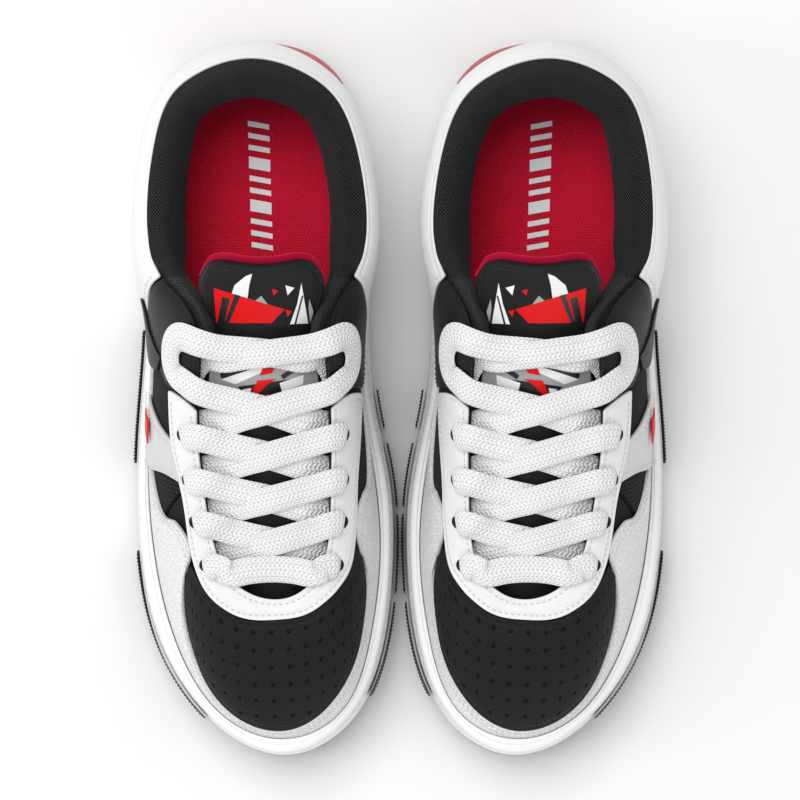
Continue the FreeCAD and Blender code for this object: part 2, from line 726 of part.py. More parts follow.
def through_eyelet(s, side, sign):
    """Over the leather, down through an eyelet and back under it towards the throat."""
    u = station_at(s, EYELET_V, side)
    n = upper_normal(u, EYELET_V)
    far = on_upper(s, EYELET_V - 0.03, 0.0, side, sign)[0]
    near = on_upper(s, EYELET_V + 0.03, 0.0, side, sign)[0]
    o = far - near
    o.normalize()
    middle = (OVER + UNDER) / 2.0

    def spot(v, t, tilt, width, thick):
        lean = n * math.cos(math.radians(tilt)) + o * math.sin(math.radians(tilt))
        return knot(on_upper(s, v, t, side, sign)[0], lean * sign, width, thick)

    return [
        spot(EYELET_V + 0.08, OVER, 0.0, LACE_WIDTH, LACE_THICK),
        spot(EYELET_V + 0.035, OVER + 0.5, 10.0, 7.0, 2.0),
        spot(EYELET_V + 0.004, OVER, 45.0, 4.4, 2.0),
        spot(EYELET_V - 0.012, middle, 90.0, 4.0, 2.0),
        spot(EYELET_V + 0.004, UNDER, 135.0, 4.4, 2.0),
        spot(EYELET_V + 0.035, UNDER - 0.5, 170.0, 7.0, 2.0),
        spot(EYELET_V + 0.08, UNDER, 180.0, LACE_WIDTH, LACE_THICK),
    ]


def seat(s):
    """How high a lace lies over the tongue at s, label or none."""
    return FIT + 0.25 + LACE_THICK / 2.0 + (0.8 + FIT) * (1.0 - eased(s, 156.0, 166.0))


def tongue_knot(x, s, lift, sign):
    ns, nz = tongue_normal(s)
    off = (x - profile(TONGUE_MIDDLE, s)) / 30.0
    tip = V(2.0 * TONGUE_CROWN * off / 30.0, -ns, nz)
    tip.normalize()
    return knot(tongue_spot(x, s, seat(s) + lift), tip * sign)


def band(s0, s1, side, sign, on_top):
    """One crossing, from under the throat's edge at s0 on one side to over the other at s1."""
    step = LACE_THICK + 0.45
    mid = profile(TONGUE_MIDDLE, (s0 + s1) / 2.0)

    def spot(x, lift, share):
        return tongue_knot(mid + x * side, s0 + (s1 - s0) * share, lift, sign)

    return [
        on_upper(s0, 0.985, UNDER - 0.3, side, sign),
        spot(17.5, 0.6, 0.16),
        spot(9.0, 0.1 if not on_top else 0.9, 0.33),
        spot(0.0, step + 0.1 if on_top else 0.1, 0.5),
        spot(-9.0, step + 0.1 if on_top else 1.5, 0.67),
        spot(-17.0, step + 0.6, 0.83),
        on_upper(s1, 0.985, OVER + 0.75, -side, sign),
    ]


def turn(side, sign):
    """The lace lies on the collar panel and turns back up along it."""
    middle = (TURN_ROWS[0] + TURN_ROWS[1]) / 2.0
    half = (TURN_ROWS[0] - TURN_ROWS[1]) / 2.0
    made = []
    for k in range(7):
        a = math.pi * k / 6.0
        made.append(on_upper(middle + half * math.cos(a), 0.885 - 0.105 * math.sin(a), OVER + 0.1,
                             side, sign))
    return made


def lace_half(side, over):
    """Knots from the middle of the lowest bar out to one free end."""
    sign = 1.0
    knots = []
    for x, lift in ((4.0, 3.2), (12.0, 5.4), (19.0, 8.4)):
        knots.append(tongue_knot(4.2 + side * x, EYELET_ROWS[0], lift, sign))
    knots.append(on_upper(EYELET_ROWS[0], 0.985, OVER + 0.9, side, sign))
    for i, s in enumerate(EYELET_ROWS):
        knots += through_eyelet(s, side, sign)
        sign = -sign
        ahead = EYELET_ROWS[i + 1] if i < 3 else TURN_ROWS[0] + 3.5
        knots += band(s - 3.0, ahead, side, sign, over == -side)
        side = -side
    knots += turn(side, sign)
    tuck = band(132.5, TURN_ROWS[1] + 2.0, -side, sign, over == side)
    knots += list(reversed(tuck))
    for s, v in ((134.0, 0.93), (138.5, 0.87), (146.0, 0.8), (156.0, 0.73), (167.0, 0.67)):
        knots.append(on_upper(s, v, UNDER - 0.1, -side, sign))
    knots.append(on_upper(178.0, 0.62, UNDER - 0.3, -side, sign, 6.0, 1.9))
    knots.append(on_upper(186.0, 0.585, UNDER - 0.5, -side, sign, 2.0, 1.6))
    return knots


def flow(knots, pitch=2.4):
    """Knots resampled at an even pitch along a smooth curve through them."""
    marks = [0.0]
    for a, b in zip(knots, knots[1:]):
        marks.append(marks[-1] + (b[0] - a[0]).Length)
    rows = [list(k[0]) + list(k[1]) + [k[2], k[3]] for k in knots]
    n = len(rows)

    def slope(i, c):
        if i == 0 or i == n - 1:
            j = 0 if i == 0 else n - 2
            return (rows[j + 1][c] - rows[j][c]) / (marks[j + 1] - marks[j])
        h0, h1 = marks[i] - marks[i - 1], marks[i + 1] - marks[i]
        d0 = (rows[i][c] - rows[i - 1][c]) / h0
        d1 = (rows[i + 1][c] - rows[i][c]) / h1
        return (d0 * h1 + d1 * h0) / (h0 + h1)

    count = int(marks[-1] / pitch)
    made = []
    i = 0
    for k in range(count + 1):
        at = marks[-1] * k / count
        while i < n - 2 and marks[i + 1] < at:
            i += 1
        h = marks[i + 1] - marks[i]
        f = (at - marks[i]) / h
        made.append([
            rows[i][c] * (2 * f ** 3 - 3 * f ** 2 + 1)
            + h * slope(i, c) * (f ** 3 - 2 * f ** 2 + f)
            + rows[i + 1][c] * (3 * f ** 2 - 2 * f ** 3)
            + h * slope(i + 1, c) * (f ** 3 - f ** 2)
            for c in range(8)
        ])
    return made


def softened(values, passes):
    """A run of vectors with its corners rounded; its ends stay."""
    for _ in range(passes):
        values = ([values[0]]
                  + [(a + b * 2.0 + c) * 0.25 for a, b, c in zip(values, values[1:], values[2:])]
                  + [values[-1]])
    return values


def lace_sections(knots):
    """Sections along the lace: place, sideways, way out, half width and half thickness."""
    path = flow(knots)
    spots = softened([V(*p[:3]) for p in path], 2)
    facing = softened([V(*p[3:6]) for p in path], 4)
    aheads = []
    for i in range(len(spots)):
        ahead = spots[min(i + 1, len(spots) - 1)] - spots[max(i - 1, 0)]
        ahead.normalize()
        aheads.append(ahead)
    made = []
    for i, p in enumerate(path):
        wide = aheads[i].cross(facing[i])
        wide.normalize()
        out = wide.cross(aheads[i])
        out.normalize()
        before, after = max(i - 1, 0), min(i + 1, len(spots) - 1)
        bend = abs((aheads[after] - aheads[before]).dot(wide))
        run = (spots[after] - spots[before]).Length
        made.append([spots[i], wide, out, min(p[6] / 2.0, 0.7 * run / max(bend, 1e-6)),
                     p[7] / 2.0])
    for _ in range(3):
        halves = [m[3] for m in made]
        for i in range(1, len(made) - 1):
            made[i][3] = min(halves[i], (halves[i - 1] + 2 * halves[i] + halves[i + 1]) / 4.0)
    return made


def ribbon(knots):
    """A flat lace along the knots, and the two ends with their directions."""
    sections = lace_sections(knots)
    top = [[at + wide * (half * k) + out * lift for k in (-1, 0, 1)]
           for at, wide, out, half, lift in sections]
    bottom = [[at + wide * (half * k) - out * lift for k in (-1, 0, 1)]
              for at, wide, out, half, lift in sections]
    spots = [section[0] for section in sections]
    ends = [(spots[0], spots[0] - spots[1]), (spots[-1], spots[-1] - spots[-2])]
    return long_slab(top, bottom, LACE_LENGTHS), ends, spots


def build_lace(over):
    """The lace and its two tips; over is the side whose bands lie on top."""
    first, second = lace_half(-1.0, over), lace_half(1.0, over)
    knots = list(reversed(first)) + second
    solid, ends, spots = ribbon(knots)
    tips = []
    for point, heading in ends:
        heading.normalize()
        tips.append(Part.makeCylinder(AGLET_R, AGLET_LENGTH, point + heading * FIT, heading))
    length = sum((b - a).Length for a, b in zip(spots, spots[1:]))
    print("lace length", round(length), "mm")
    return {"lace": solid, "lace_tips": Part.makeCompound(tips)}


def punch(made):
    """Cut the lace's eyelets through the layers they pass."""
    drills = []
    for side in (-1.0, 1.0):
        for s in EYELET_ROWS:
            u = station_at(s, EYELET_V, side)
            n = upper_normal(u, EYELET_V)
            drills.append(Part.makeCylinder(
                EYELET_R, 9.0, upper_point(u, EYELET_V) - n * 5.0, n))
    tool = Part.makeCompound(drills)
    for name in ("eyestay", "vamp_lining", "side_mesh_outer", "side_mesh_inner"):
        made[name] = made[name].cut(tool)


# ---- one shoe and its pair ------------------------------------------------------------------
def build_shoe():
    """Everything but the lace, for the right shoe."""
    block = sole_block()
    cup = upper_block(LEATHER + SEAM).common(
        side_slice(cup_floor, lambda s: cup_floor(s) + 60.0))
    inside = upper_block(INNER - FIT)
    made = {
        "outsole": make_outsole(block),
        "midsole": make_midsole(block, cup),
        "rubber_wraps": make_wraps(),
        "heel_clip": make_heel_clip(),
        "insole_board": inside.common(side_slice(
            lambda s: cup_floor(s) + FIT, lambda s: cup_floor(s) + FIT + BOARD)),
        "footbed": inside.common(side_slice(
            lambda s: cup_floor(s) + 2 * FIT + BOARD,
            lambda s: cup_floor(s) + 2 * FIT + BOARD + INSOLE)),
        "collar_padding": make_collar_padding(),
    }
    made.update(build_linings())
    made.update(build_overlays())
    made.update(build_outer_trim())
    made.update(build_tongue())
    punch(made)
    return made


def main():
    os.makedirs("parts", exist_ok=True)
    shared = build_shoe()
    right = dict(shared)
    right.update(build_lace(1.0))
    left = dict(shared)
    left.update(build_lace(-1.0))
    for side, pieces in (("right", right), ("left", left)):
        for name, shape in pieces.items():
            if side == "left":
                shape = shape.mirror(V(0, 0, 0), V(1, 0, 0))
            shape.exportStep(f"parts/{side}_{name}.step")
    for name, shape in right.items():
        print(name, shape.isValid(), round(shape.Volume), len(shape.Solids))


if __name__ == "__main__":
    main()
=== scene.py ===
# %% [markdown]
# # A pair of laced low-cut trainers
#
# The CAD model gives the frame: where each piece lies, how it moves and how large it is. This
# script dresses that frame. It works in metres, with the toes towards -Y and the floor at Z = 0.
# The first cell loads the imported model and keeps its pieces and joints.

# %% Load the frame
import bmesh
import bpy
import json
import math
from mathutils import Matrix, Vector
from mathutils.bvhtree import BVHTree
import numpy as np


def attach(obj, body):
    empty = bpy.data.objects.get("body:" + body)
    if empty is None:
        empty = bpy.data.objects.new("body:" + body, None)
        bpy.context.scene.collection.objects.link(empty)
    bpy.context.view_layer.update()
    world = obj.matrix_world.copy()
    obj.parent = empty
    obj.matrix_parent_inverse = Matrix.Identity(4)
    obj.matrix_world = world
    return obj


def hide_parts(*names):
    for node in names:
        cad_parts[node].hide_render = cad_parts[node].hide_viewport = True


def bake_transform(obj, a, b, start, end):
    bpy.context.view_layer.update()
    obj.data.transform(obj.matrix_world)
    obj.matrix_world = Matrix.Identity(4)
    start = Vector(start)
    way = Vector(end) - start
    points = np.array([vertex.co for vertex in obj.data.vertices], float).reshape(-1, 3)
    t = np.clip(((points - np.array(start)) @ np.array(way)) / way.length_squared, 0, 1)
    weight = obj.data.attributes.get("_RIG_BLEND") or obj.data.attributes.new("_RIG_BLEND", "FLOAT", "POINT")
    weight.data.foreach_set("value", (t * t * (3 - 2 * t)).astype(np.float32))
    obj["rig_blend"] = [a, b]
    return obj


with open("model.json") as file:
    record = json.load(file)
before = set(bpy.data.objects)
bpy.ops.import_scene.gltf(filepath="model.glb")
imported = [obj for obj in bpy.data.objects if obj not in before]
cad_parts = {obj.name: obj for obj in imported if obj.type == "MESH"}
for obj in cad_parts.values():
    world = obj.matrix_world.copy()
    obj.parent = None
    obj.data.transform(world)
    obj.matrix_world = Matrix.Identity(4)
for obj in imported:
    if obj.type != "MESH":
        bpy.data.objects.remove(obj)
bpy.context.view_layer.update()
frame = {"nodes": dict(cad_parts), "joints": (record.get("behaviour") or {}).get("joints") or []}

# %% [markdown]
# ## Camera, floor and light
#
# The pair is seen from straight above, from a good arm's length, so a long lens keeps the soles
# and the collars nearly the same scale. The floor is one large pale sheet. Its light comes from
# a wide soft box overhead and two long strips at the sides: white leather shows its shape only
# through soft shading, and black leather only through what it mirrors.

# %% Camera, floor and soft boxes
scene = bpy.context.scene
scene.view_settings.view_transform = "Standard"
eye = bpy.data.cameras.new("overhead")
eye.lens = 167.4
eye.sensor_width = 36.0
camera = bpy.data.objects.new("overhead", eye)
camera.location = (0.0, 0.0, 1.6)
scene.collection.objects.link(camera)
scene.camera = camera


def soft_box(name, where, towards, size, watts):
    """An area light at a place, turned to face another."""
    lamp = bpy.data.lights.new(name, "AREA")
    lamp.shape = "RECTANGLE"
    lamp.size, lamp.size_y = size
    lamp.energy = watts
    box = bpy.data.objects.new(name, lamp)
    box.location = where
    box.rotation_euler = (Vector(towards) - Vector(where)).to_track_quat("-Z", "Y").to_euler()
    scene.collection.objects.link(box)


soft_box("overhead box", (-0.5, 0.7, 2.1), (0.0, 0.0, 0.0), (1.5, 1.5), 25.5)
soft_box("left strip", (-1.7, -0.2, 0.9), (0.0, 0.0, 0.05), (0.6, 1.8), 7.5)
soft_box("toe strip", (0.6, -1.7, 1.0), (0.0, 0.0, 0.05), (1.6, 0.6), 6.5)
air = bpy.data.worlds.new("studio air")
air.use_nodes = True
air.node_tree.nodes["Background"].inputs["Color"].default_value = (1.0, 1.0, 1.0, 1.0)
air.node_tree.nodes["Background"].inputs["Strength"].default_value = 0.62
scene.world = air

# %% [markdown]
# ## Shader maths as plain expressions
#
# A material is a graph of nodes, and small sums make that graph long to write. One class wraps
# a socket, so that `1 - height * 0.4` adds its Math nodes itself. The other class is a finish in
# the making: its `add` method makes any node, with its settings first and then its sockets.

# %% Sockets that can be added and multiplied
class Level:
    """One output of a finish's graph, on which sums can be written."""

    def __init__(self, finish, socket):
        self.finish, self.socket = finish, socket

    def maths(self, operation, *values):
        return self.finish.add("ShaderNodeMath", {"operation": operation}, dict(enumerate(values)))

    def __add__(self, other):
        return self.maths("ADD", self, other)

    def __radd__(self, other):
        return self.maths("ADD", other, self)

    def __sub__(self, other):
        return self.maths("SUBTRACT", self, other)

    def __rsub__(self, other):
        return self.maths("SUBTRACT", other, self)

    def __mul__(self, other):
        return self.maths("MULTIPLY", self, other)

    def __rmul__(self, other):
        return self.maths("MULTIPLY", other, self)

    def __truediv__(self, other):
        return self.maths("DIVIDE", self, other)

    def __rtruediv__(self, other):
        return self.maths("DIVIDE", other, self)

    def __pow__(self, other):
        return self.maths("POWER", self, other)

    def rise(self, low, high):
        """0 below low, 1 above high, and a smooth climb between."""
        return self.finish.add("ShaderNodeMapRange", {"interpolation_type": "SMOOTHSTEP"},
                               {0: self, 1: low, 2: high})


class Finish:
    """A material in the making, around one Principled shader."""

    def __init__(self, name, **fixed):
        self.material = bpy.data.materials.new(name)
        self.material.use_nodes = True
        self.tree = self.material.node_tree
        self.shader = self.tree.nodes["Principled BSDF"]
        for socket, value in fixed.items():
            self.shader.inputs[socket.replace("_", " ")].default_value = value

    def add(self, kind, settings=None, inputs=None, output=0):
        node = self.tree.nodes.new(kind)
        for key, value in (settings or {}).items():
            setattr(node, key, value)
        for key, value in (inputs or {}).items():
            if isinstance(value, Level):
                self.tree.links.new(value.socket, node.inputs[key])
            else:
                node.inputs[key].default_value = value
        return Level(self, node.outputs[output])

    def spot(self, stretch=(1000.0, 1000.0, 1000.0)):
        """The place on the object, in millimetres unless stretched otherwise."""
        here = self.add("ShaderNodeTexCoord", output="Object")
        return self.add("ShaderNodeVectorMath", {"operation": "MULTIPLY"}, {0: here, 1: stretch})

    def along(self, chart):
        """The two directions of a UV map, in millimetres."""
        here = self.add("ShaderNodeUVMap", {"uv_map": chart})
        parts = self.add("ShaderNodeSeparateXYZ", inputs={0: here}).socket.node
        return Level(self, parts.outputs[0]), Level(self, parts.outputs[1])

    def noise(self, spot, scale, detail=3.0):
        return self.add("ShaderNodeTexNoise", inputs={"Vector": spot, "Scale": scale,
                                                      "Detail": detail})

    def blend(self, factor, one, other):
        """The colour one where factor is 0 and other where it is 1."""
        return self.add("ShaderNodeMix", {"data_type": "RGBA"},
                        {0: factor, 6: one, 7: other}, output=2)

    def feed(self, socket, value):
        self.tree.links.new(value.socket, self.shader.inputs[socket])

    def relief(self, height, depth, strength=1.0):
        """Bump from a height of 0 to 1, where 1 stands for depth in millimetres."""
        self.feed("Normal", self.add("ShaderNodeBump", inputs={
            "Height": height, "Distance": depth / 1000.0, "Strength": strength}))
        return self.material


def grey(value):
    return (value, value, value, 1.0)


print("shader maths ready")

# %% [markdown]
# ## Leathers
#
# Leather is a coat of paint over a grain of small cells with creases between them. A Voronoi
# texture that measures the distance to the nearest cell wall gives those creases, and noise
# bends it so that no two cells match. Stitching pulls the edge down: each leather piece carries
# an attribute called rim, its distance from the cut edge, from which the same material makes
# the shallow valley under the seam and a painted shade along the cut edge.

# %% Leather finishes
def leather(name, colour, crease_and_edge_shade, roughness, cell, depth, coat=0.0, shine=0.4, holes=False):
    """A grained leather; cell is the grain's size and depth its relief, in millimetres."""
    finish = Finish(name, Coat_Weight=coat, Coat_Roughness=0.35, Specular_IOR_Level=shine)
    spot = finish.spot()
    drift = finish.noise(spot, 0.35, 2.0)
    bent = finish.add("ShaderNodeVectorMath", {"operation": "ADD"}, {
        0: spot, 1: finish.add("ShaderNodeTexNoise", inputs={"Vector": spot, "Scale": 0.9}, output=1)})
    wall = finish.add("ShaderNodeTexVoronoi", {"feature": "DISTANCE_TO_EDGE"},
                      {"Vector": bent, "Scale": 1.0 / cell})
    grain = wall.rise(0.0, 0.22)
    rim = finish.add("ShaderNodeAttribute", {"attribute_name": "rim"}, output=2)
    edge = 1 - rim.rise(0.0, 0.7)
    seam = rim.rise(0.9, 1.9) * (1 - rim.rise(2.2, 3.4))
    shade = finish.blend(grain * 0.8 + drift * 0.3, crease_and_edge_shade, colour)
    # Painted shade: the last 0.7 mm before the cut edge is darkened towards the crease colour, for the shade
    # along the panel's edge.
    shade = finish.blend(edge * 0.45, shade, crease_and_edge_shade)
    height = grain * depth + finish.noise(spot, 0.12, 2.0) * 0.35 - seam * 0.5
    rough = roughness + (drift - 0.5) * 0.12
    if holes:
        across, down = finish.along("holes")
        shift_a = across - finish.add("ShaderNodeMath", {"operation": "ROUND"}, {0: across})
        shift_d = down - finish.add("ShaderNodeMath", {"operation": "ROUND"}, {0: down})
        reach = (shift_a * shift_a + shift_d * shift_d) ** 0.5
        punched = finish.add("ShaderNodeAttribute", {"attribute_name": "punched"}, output=2)
        hole = (1 - reach.rise(0.1, 0.15)) * punched
        lip = (1 - reach.rise(0.13, 0.24)) * punched
        # Painted shade: inside each hole the colour goes near black, for the shade down the hole over the
        # black lining.
        shade = finish.blend(hole * 0.85, shade, grey(0.001))
        height = height - hole * 1.6 - lip * 0.5
        rough = rough + hole * 0.4
    finish.feed("Base Color", shade)
    finish.feed("Roughness", rough)
    return finish.relief(height, 0.45)


smooth_white = leather("smooth white leather", grey(0.86), grey(0.74), 0.42, 0.75, 0.06, coat=0.15)
pebbled_white = leather("pebbled white leather", grey(0.86), grey(0.68), 0.5, 1.5, 0.3)
smooth_black = leather("smooth black leather", grey(0.010), grey(0.004), 0.42, 0.9, 0.2, shine=0.22)
perforated_black = leather("perforated black leather", grey(0.009), grey(0.003), 0.44, 1.0, 0.26,
                           shine=0.2, holes=True)
print("four leathers")

# %% [markdown]
# ## Cloths
#
# The collar is a thick ribbed knit, the windows a black open mesh, the footbed a fine red twill.
# Each is a small repeating cell. Where a cloth follows a curved piece, the cell is drawn on that
# piece's own UV map, which holds millimetres, so that the loops keep their size round a bend.
# Flat pieces can use the object's own coordinates.

# %% Cloth finishes
def cells(finish, across, down, wide, tall):
    """Rows of cells, every second row shifted by half: each cell's own -0.5 to 0.5 in both ways."""
    level = down / tall
    floor_of = finish.add("ShaderNodeMath", {"operation": "FLOOR"}, {0: level})
    shift = finish.add("ShaderNodeMath", {"operation": "MODULO"}, {0: floor_of, 1: 2.0}) * 0.5
    fraction = finish.add("ShaderNodeMath", {"operation": "FRACT"}, {0: across / wide + shift + 64.0})
    return fraction - 0.5, (level - floor_of) - 0.5


def knit(name, dark, light, wide, tall, depth, chart="weave"):
    """Loops of yarn in shifted rows."""
    finish = Finish(name, Roughness=0.9, Sheen_Weight=0.06, Sheen_Roughness=0.5,
                    Specular_IOR_Level=0.1)
    across, down = finish.along(chart)
    side, up = cells(finish, across, down, wide, tall)
    loop = 1 - ((side * side * 1.5 + up * up) ** 0.5).rise(0.12, 0.5)
    fuzz = finish.noise(finish.spot(), 1.6, 4.0)
    # Painted highlight: the tops of the loops are drawn in the light colour, as sheen on the yarn; the dark
    # colour is the yarn's own.
    finish.feed("Base Color", finish.blend(loop * fuzz * 1.7, dark, light))
    return finish.relief(loop + fuzz * 0.4, depth)


# The second colour of each knit is its painted highlight on the loop tops.
collar_knit = knit("black collar knit", grey(0.003), grey(0.075), 1.2, 0.95, 0.4)
coarse_rib = knit("coarse black rib", grey(0.004), grey(0.17), 1.7, 1.3, 0.6)
window_mesh = knit("black window mesh", grey(0.002), grey(0.03), 2.3, 1.5, 0.6)
red_lining = knit("red lining", (0.55, 0.002, 0.04, 1.0), (0.90, 0.008, 0.09, 1.0), 1.0, 0.8, 0.3)
# The black lining also gives the heel lining its painted shade, below.
black_lining_and_heel_shade = knit("black lining and painted heel shade", grey(0.004), grey(0.04), 1.0, 0.8, 0.3)


def twill(name, dark, light):
    """A fine diagonal weave on a flat piece."""
    finish = Finish(name, Roughness=0.85, Sheen_Weight=0.2, Specular_IOR_Level=0.25)
    spot = finish.spot()
    parts = finish.add("ShaderNodeSeparateXYZ", inputs={0: spot}).socket.node
    across, down = Level(finish, parts.outputs[0]), Level(finish, parts.outputs[1])
    side, up = cells(finish, across + down * 0.35, down, 1.5, 1.1)
    thread = 1 - ((side * side + up * up) ** 0.5).rise(0.1, 0.5)
    patch = finish.noise(spot, 0.06, 2.0)
    finish.feed("Base Color", finish.blend(thread * 0.6 + patch * 0.4, dark, light))
    return finish.relief(thread, 0.3)


red_twill = twill("red footbed twill", (0.56, 0.0, 0.022, 1.0), (0.95, 0.004, 0.045, 1.0))


def braid(name):
    """The lace: columns of chevrons, pulled together along its length."""
    finish = Finish(name, Roughness=0.8, Sheen_Weight=0.3, Sheen_Roughness=0.4,
                    Specular_IOR_Level=0.25)
    across, along = finish.along("weave")
    column = finish.add("ShaderNodeMath", {"operation": "PINGPONG"}, {0: across + 60.0, 1: 1.3})
    phase = (along / 1.9 + column * 0.42) * math.tau
    wave = finish.add("ShaderNodeMath", {"operation": "SINE"}, {0: phase}) * 0.5 + 0.5
    valley = (1 - column.rise(0.0, 0.4)) * 0.5 + column.rise(0.95, 1.3) * 0.35
    yarn = wave ** 0.7 - valley
    fuzz = finish.noise(finish.spot(), 1.4, 4.0)
    # Painted shade: the valleys between the chevrons and the columns go down to grey 0.70 on the white lace.
    finish.feed("Base Color", finish.blend(yarn * 0.6 + 0.4 + fuzz * 0.15, grey(0.70), grey(0.93)))
    return finish.relief(yarn + fuzz * 0.3, 0.45)


white_braid = braid("white braided lace")
print("eight cloths")

# %% [markdown]
# ## Rubber, plastic, thread and print
#
# Moulded pieces need less: a faint cloudiness in the colour, a roughness that wanders a little
# and a very fine bump break up the even look that gives away a plain shader.

# %% Moulded and printed finishes
def moulded(name, colour, roughness, depth=0.08, scale=0.5, cloud=0.15, **fixed):
    """Rubber, plastic or paint with a slightly uneven skin."""
    finish = Finish(name, **fixed)
    spot = finish.spot()
    haze = finish.noise(spot, 0.05, 3.0)
    fine = finish.noise(spot, scale, 4.0)
    darker = tuple(c * (1 - cloud) for c in colour[:3]) + (1.0,)
    finish.feed("Base Color", finish.blend(haze * 0.6 + fine * 0.4, darker, colour))
    finish.feed("Roughness", roughness + (fine - 0.5) * 0.2)
    return finish.relief(fine, depth)


white_rubber = moulded("white sole rubber", grey(0.87), 0.48, cloud=0.06)
black_rubber = moulded("black wrap rubber", grey(0.012), 0.55, cloud=0.3)
tread_rubber = moulded("tread rubber", grey(0.03), 0.7, 0.2, 0.8, cloud=0.3)
red_plastic = moulded("red clip plastic", (0.50, 0.001, 0.005, 1.0), 0.4,
                     Specular_IOR_Level=0.3)
black_line = moulded("black clip line", grey(0.012), 0.5)
fibre_board = moulded("fibre board", (0.55, 0.44, 0.30, 1.0), 0.85, 0.3, 1.5, cloud=0.3)
stiff_sheet = moulded("stiffener sheet", grey(0.02), 0.8, 0.15, 1.0, cloud=0.2)
white_thread = moulded("white thread", grey(0.72), 0.6, 0.1, 2.5, cloud=0.25)
black_thread = moulded("black thread", grey(0.03), 0.6, 0.1, 2.5, cloud=0.4)
clear_plastic = moulded("clear lace tip", grey(0.75), 0.15, Transmission_Weight=0.6, IOR=1.49)
print_red = moulded("red print", (0.74, 0.002, 0.004, 1.0), 0.45, 0.06, 1.0, cloud=0.1,
                   Specular_IOR_Level=0.2)
print_white = moulded("white print", grey(0.86), 0.4, 0.06, 1.0, cloud=0.08)
print_grey = moulded("grey print", grey(0.36), 0.42, 0.06, 1.0, cloud=0.15)
print_black = moulded("black print", grey(0.006), 0.35, 0.06, 1.0)
# Painted shadow: the near-black of the discs laid over the eyelets.
eyelet_shadow = moulded("eyelet shadow", grey(0.003), 0.9)


def satin(name):
    """Pale coated cloth with a soft metallic shine, its threads too fine to count."""
    finish = Finish(name, Metallic=0.35, Sheen_Weight=0.2)
    long = finish.noise(finish.spot((1500.0, 60.0, 60.0)), 1.0, 2.0)
    fine = finish.noise(finish.spot(), 2.5, 2.0)
    finish.feed("Base Color", finish.blend(long * 0.6 + fine * 0.4, grey(0.52), grey(0.74)))
    finish.feed("Roughness", 0.3 + long * 0.12)
    return finish.relief(fine, 0.08)


pale_satin = satin("pale satin")
floor_paper = moulded("pale floor", grey(0.86), 0.75, 0.05, 0.2, cloud=0.01)
ground_sheet = bmesh.new()
bmesh.ops.create_grid(ground_sheet, x_segments=4, y_segments=4, size=6.0)
floor_mesh = bpy.data.meshes.new("floor")
ground_sheet.to_mesh(floor_mesh)
ground_sheet.free()
floor = bpy.data.objects.new("floor", floor_mesh)
floor_mesh.materials.append(floor_paper)
scene.collection.objects.link(floor)
print("moulded finishes and the floor")

# %% [markdown]
# ## The last
#
# A shoe is built round a last, and every piece of its upper is a flat pattern pulled over it.
# These tables are the model's own, in millimetres: twenty stations run round the shoe from the
# heel, along the outer side to the toe and back. At each, a curve climbs from the edge of the
# sole to the topline. With u along the stations and v up the curve, a place on the shoe is just
# two numbers, and a leather piece is a flat sheet laid between two lines of such numbers.

# %% The last's tables
PITCH, MIDDLE = 57.0, 148.8
LAST = [
    (-3.5, 11, 8.5, 20, -4, 10.5, 84, 15, -18), (-25, 18.5, 6, 20, -28, 18, 80.5, 15, -17),
    (-36, 39.5, 5, 21, -41, 37, 75, 16, -15), (-40, 75, 7, 22, -45.5, 77, 70.5, 16.5, -13),
    (-41, 112, 6, 20, -37.5, 101, 80, 18.5, -14), (-45, 146, 5, 19, -24.5, 119, 93.5, 20, -11),
    (-47, 180, 4, 18, -25, 152, 81.5, 16, -7), (-45.5, 213, 3, 17, -23, 185, 70.5, 13.5, -5),
    (-37.5, 249, 3, 17, -18, 212, 61.5, 13, -2.5), (-18.5, 280, 5, 19, -8, 226, 57.5, 24, 0),
    (8, 290.5, 8, 21, 5, 230, 56.5, 33, 1), (31.5, 280, 5, 19, 17, 226, 57.5, 23, 0),
    (43, 250, 3, 17, 26, 211, 61.5, 12, -3), (47, 214, 2.5, 17, 28, 184, 70.5, 11, -5),
    (43.5, 180, 2.5, 18, 28, 151, 82, 13, -7), (37.5, 146, 3, 20, 27, 120, 94.5, 19, -11),
    (35, 110, 4, 20, 35.5, 101, 81, 15.5, -14), (34.5, 75, 4.5, 22, 42, 77, 71.5, 14, -13),
    (29.5, 39.5, 4, 21, 36, 38, 75.5, 13.5, -15), (18, 18.5, 6, 20, 21, 18, 80.5, 14, -17)]
SOLE_OUTLINE = [
    (-3.5, -1.5), (-32, 7), (-47.5, 36), (-51.5, 75), (-51, 112), (-53, 146), (-55, 180),
    (-53.5, 216), (-45.5, 252), (-24, 285), (8, 300.5), (36.5, 285.5), (50.5, 254), (54.5, 216),
    (53, 182), (46.5, 148), (44, 112), (44.5, 75), (39.5, 36), (24.5, 7)]
WALL_SECTIONS = [(-6, 5.5), (0, 3.2), (5, 1), (11, 0), (20, 0.9), (30, 2.6), (40, 3.6), (52, 5)]
GROUND = [(-8, 4.5), (0, 2.4), (14, 0), (60, 0), (120, 0), (214, 0), (240, 1.2), (262, 4),
          (282, 8), (300, 12.5), (312, 16)]
CUP_FLOOR = [(-8, 24.5), (30, 24), (75, 23), (120, 20), (170, 16.6), (215, 15.4), (250, 17),
             (280, 20.5), (312, 25.5)]
CUP_RIM = [(-8, 37.5), (10, 36), (40, 33.5), (90, 30.5), (150, 28.6), (205, 27.6), (245, 28.8),
           (275, 31.8), (296, 36.5), (312, 39.5)]
TONGUE_RIDGE = [(84, 119), (96, 111.5), (108, 103.6), (119, 96.2), (152, 82.3), (185, 70.2),
                (212, 60.4), (230, 53), (248, 48)]
TONGUE_MIDDLE = [(84, 1), (119, 1.3), (152, 1.5), (185, 2.5), (212, 4), (248, 5.5)]
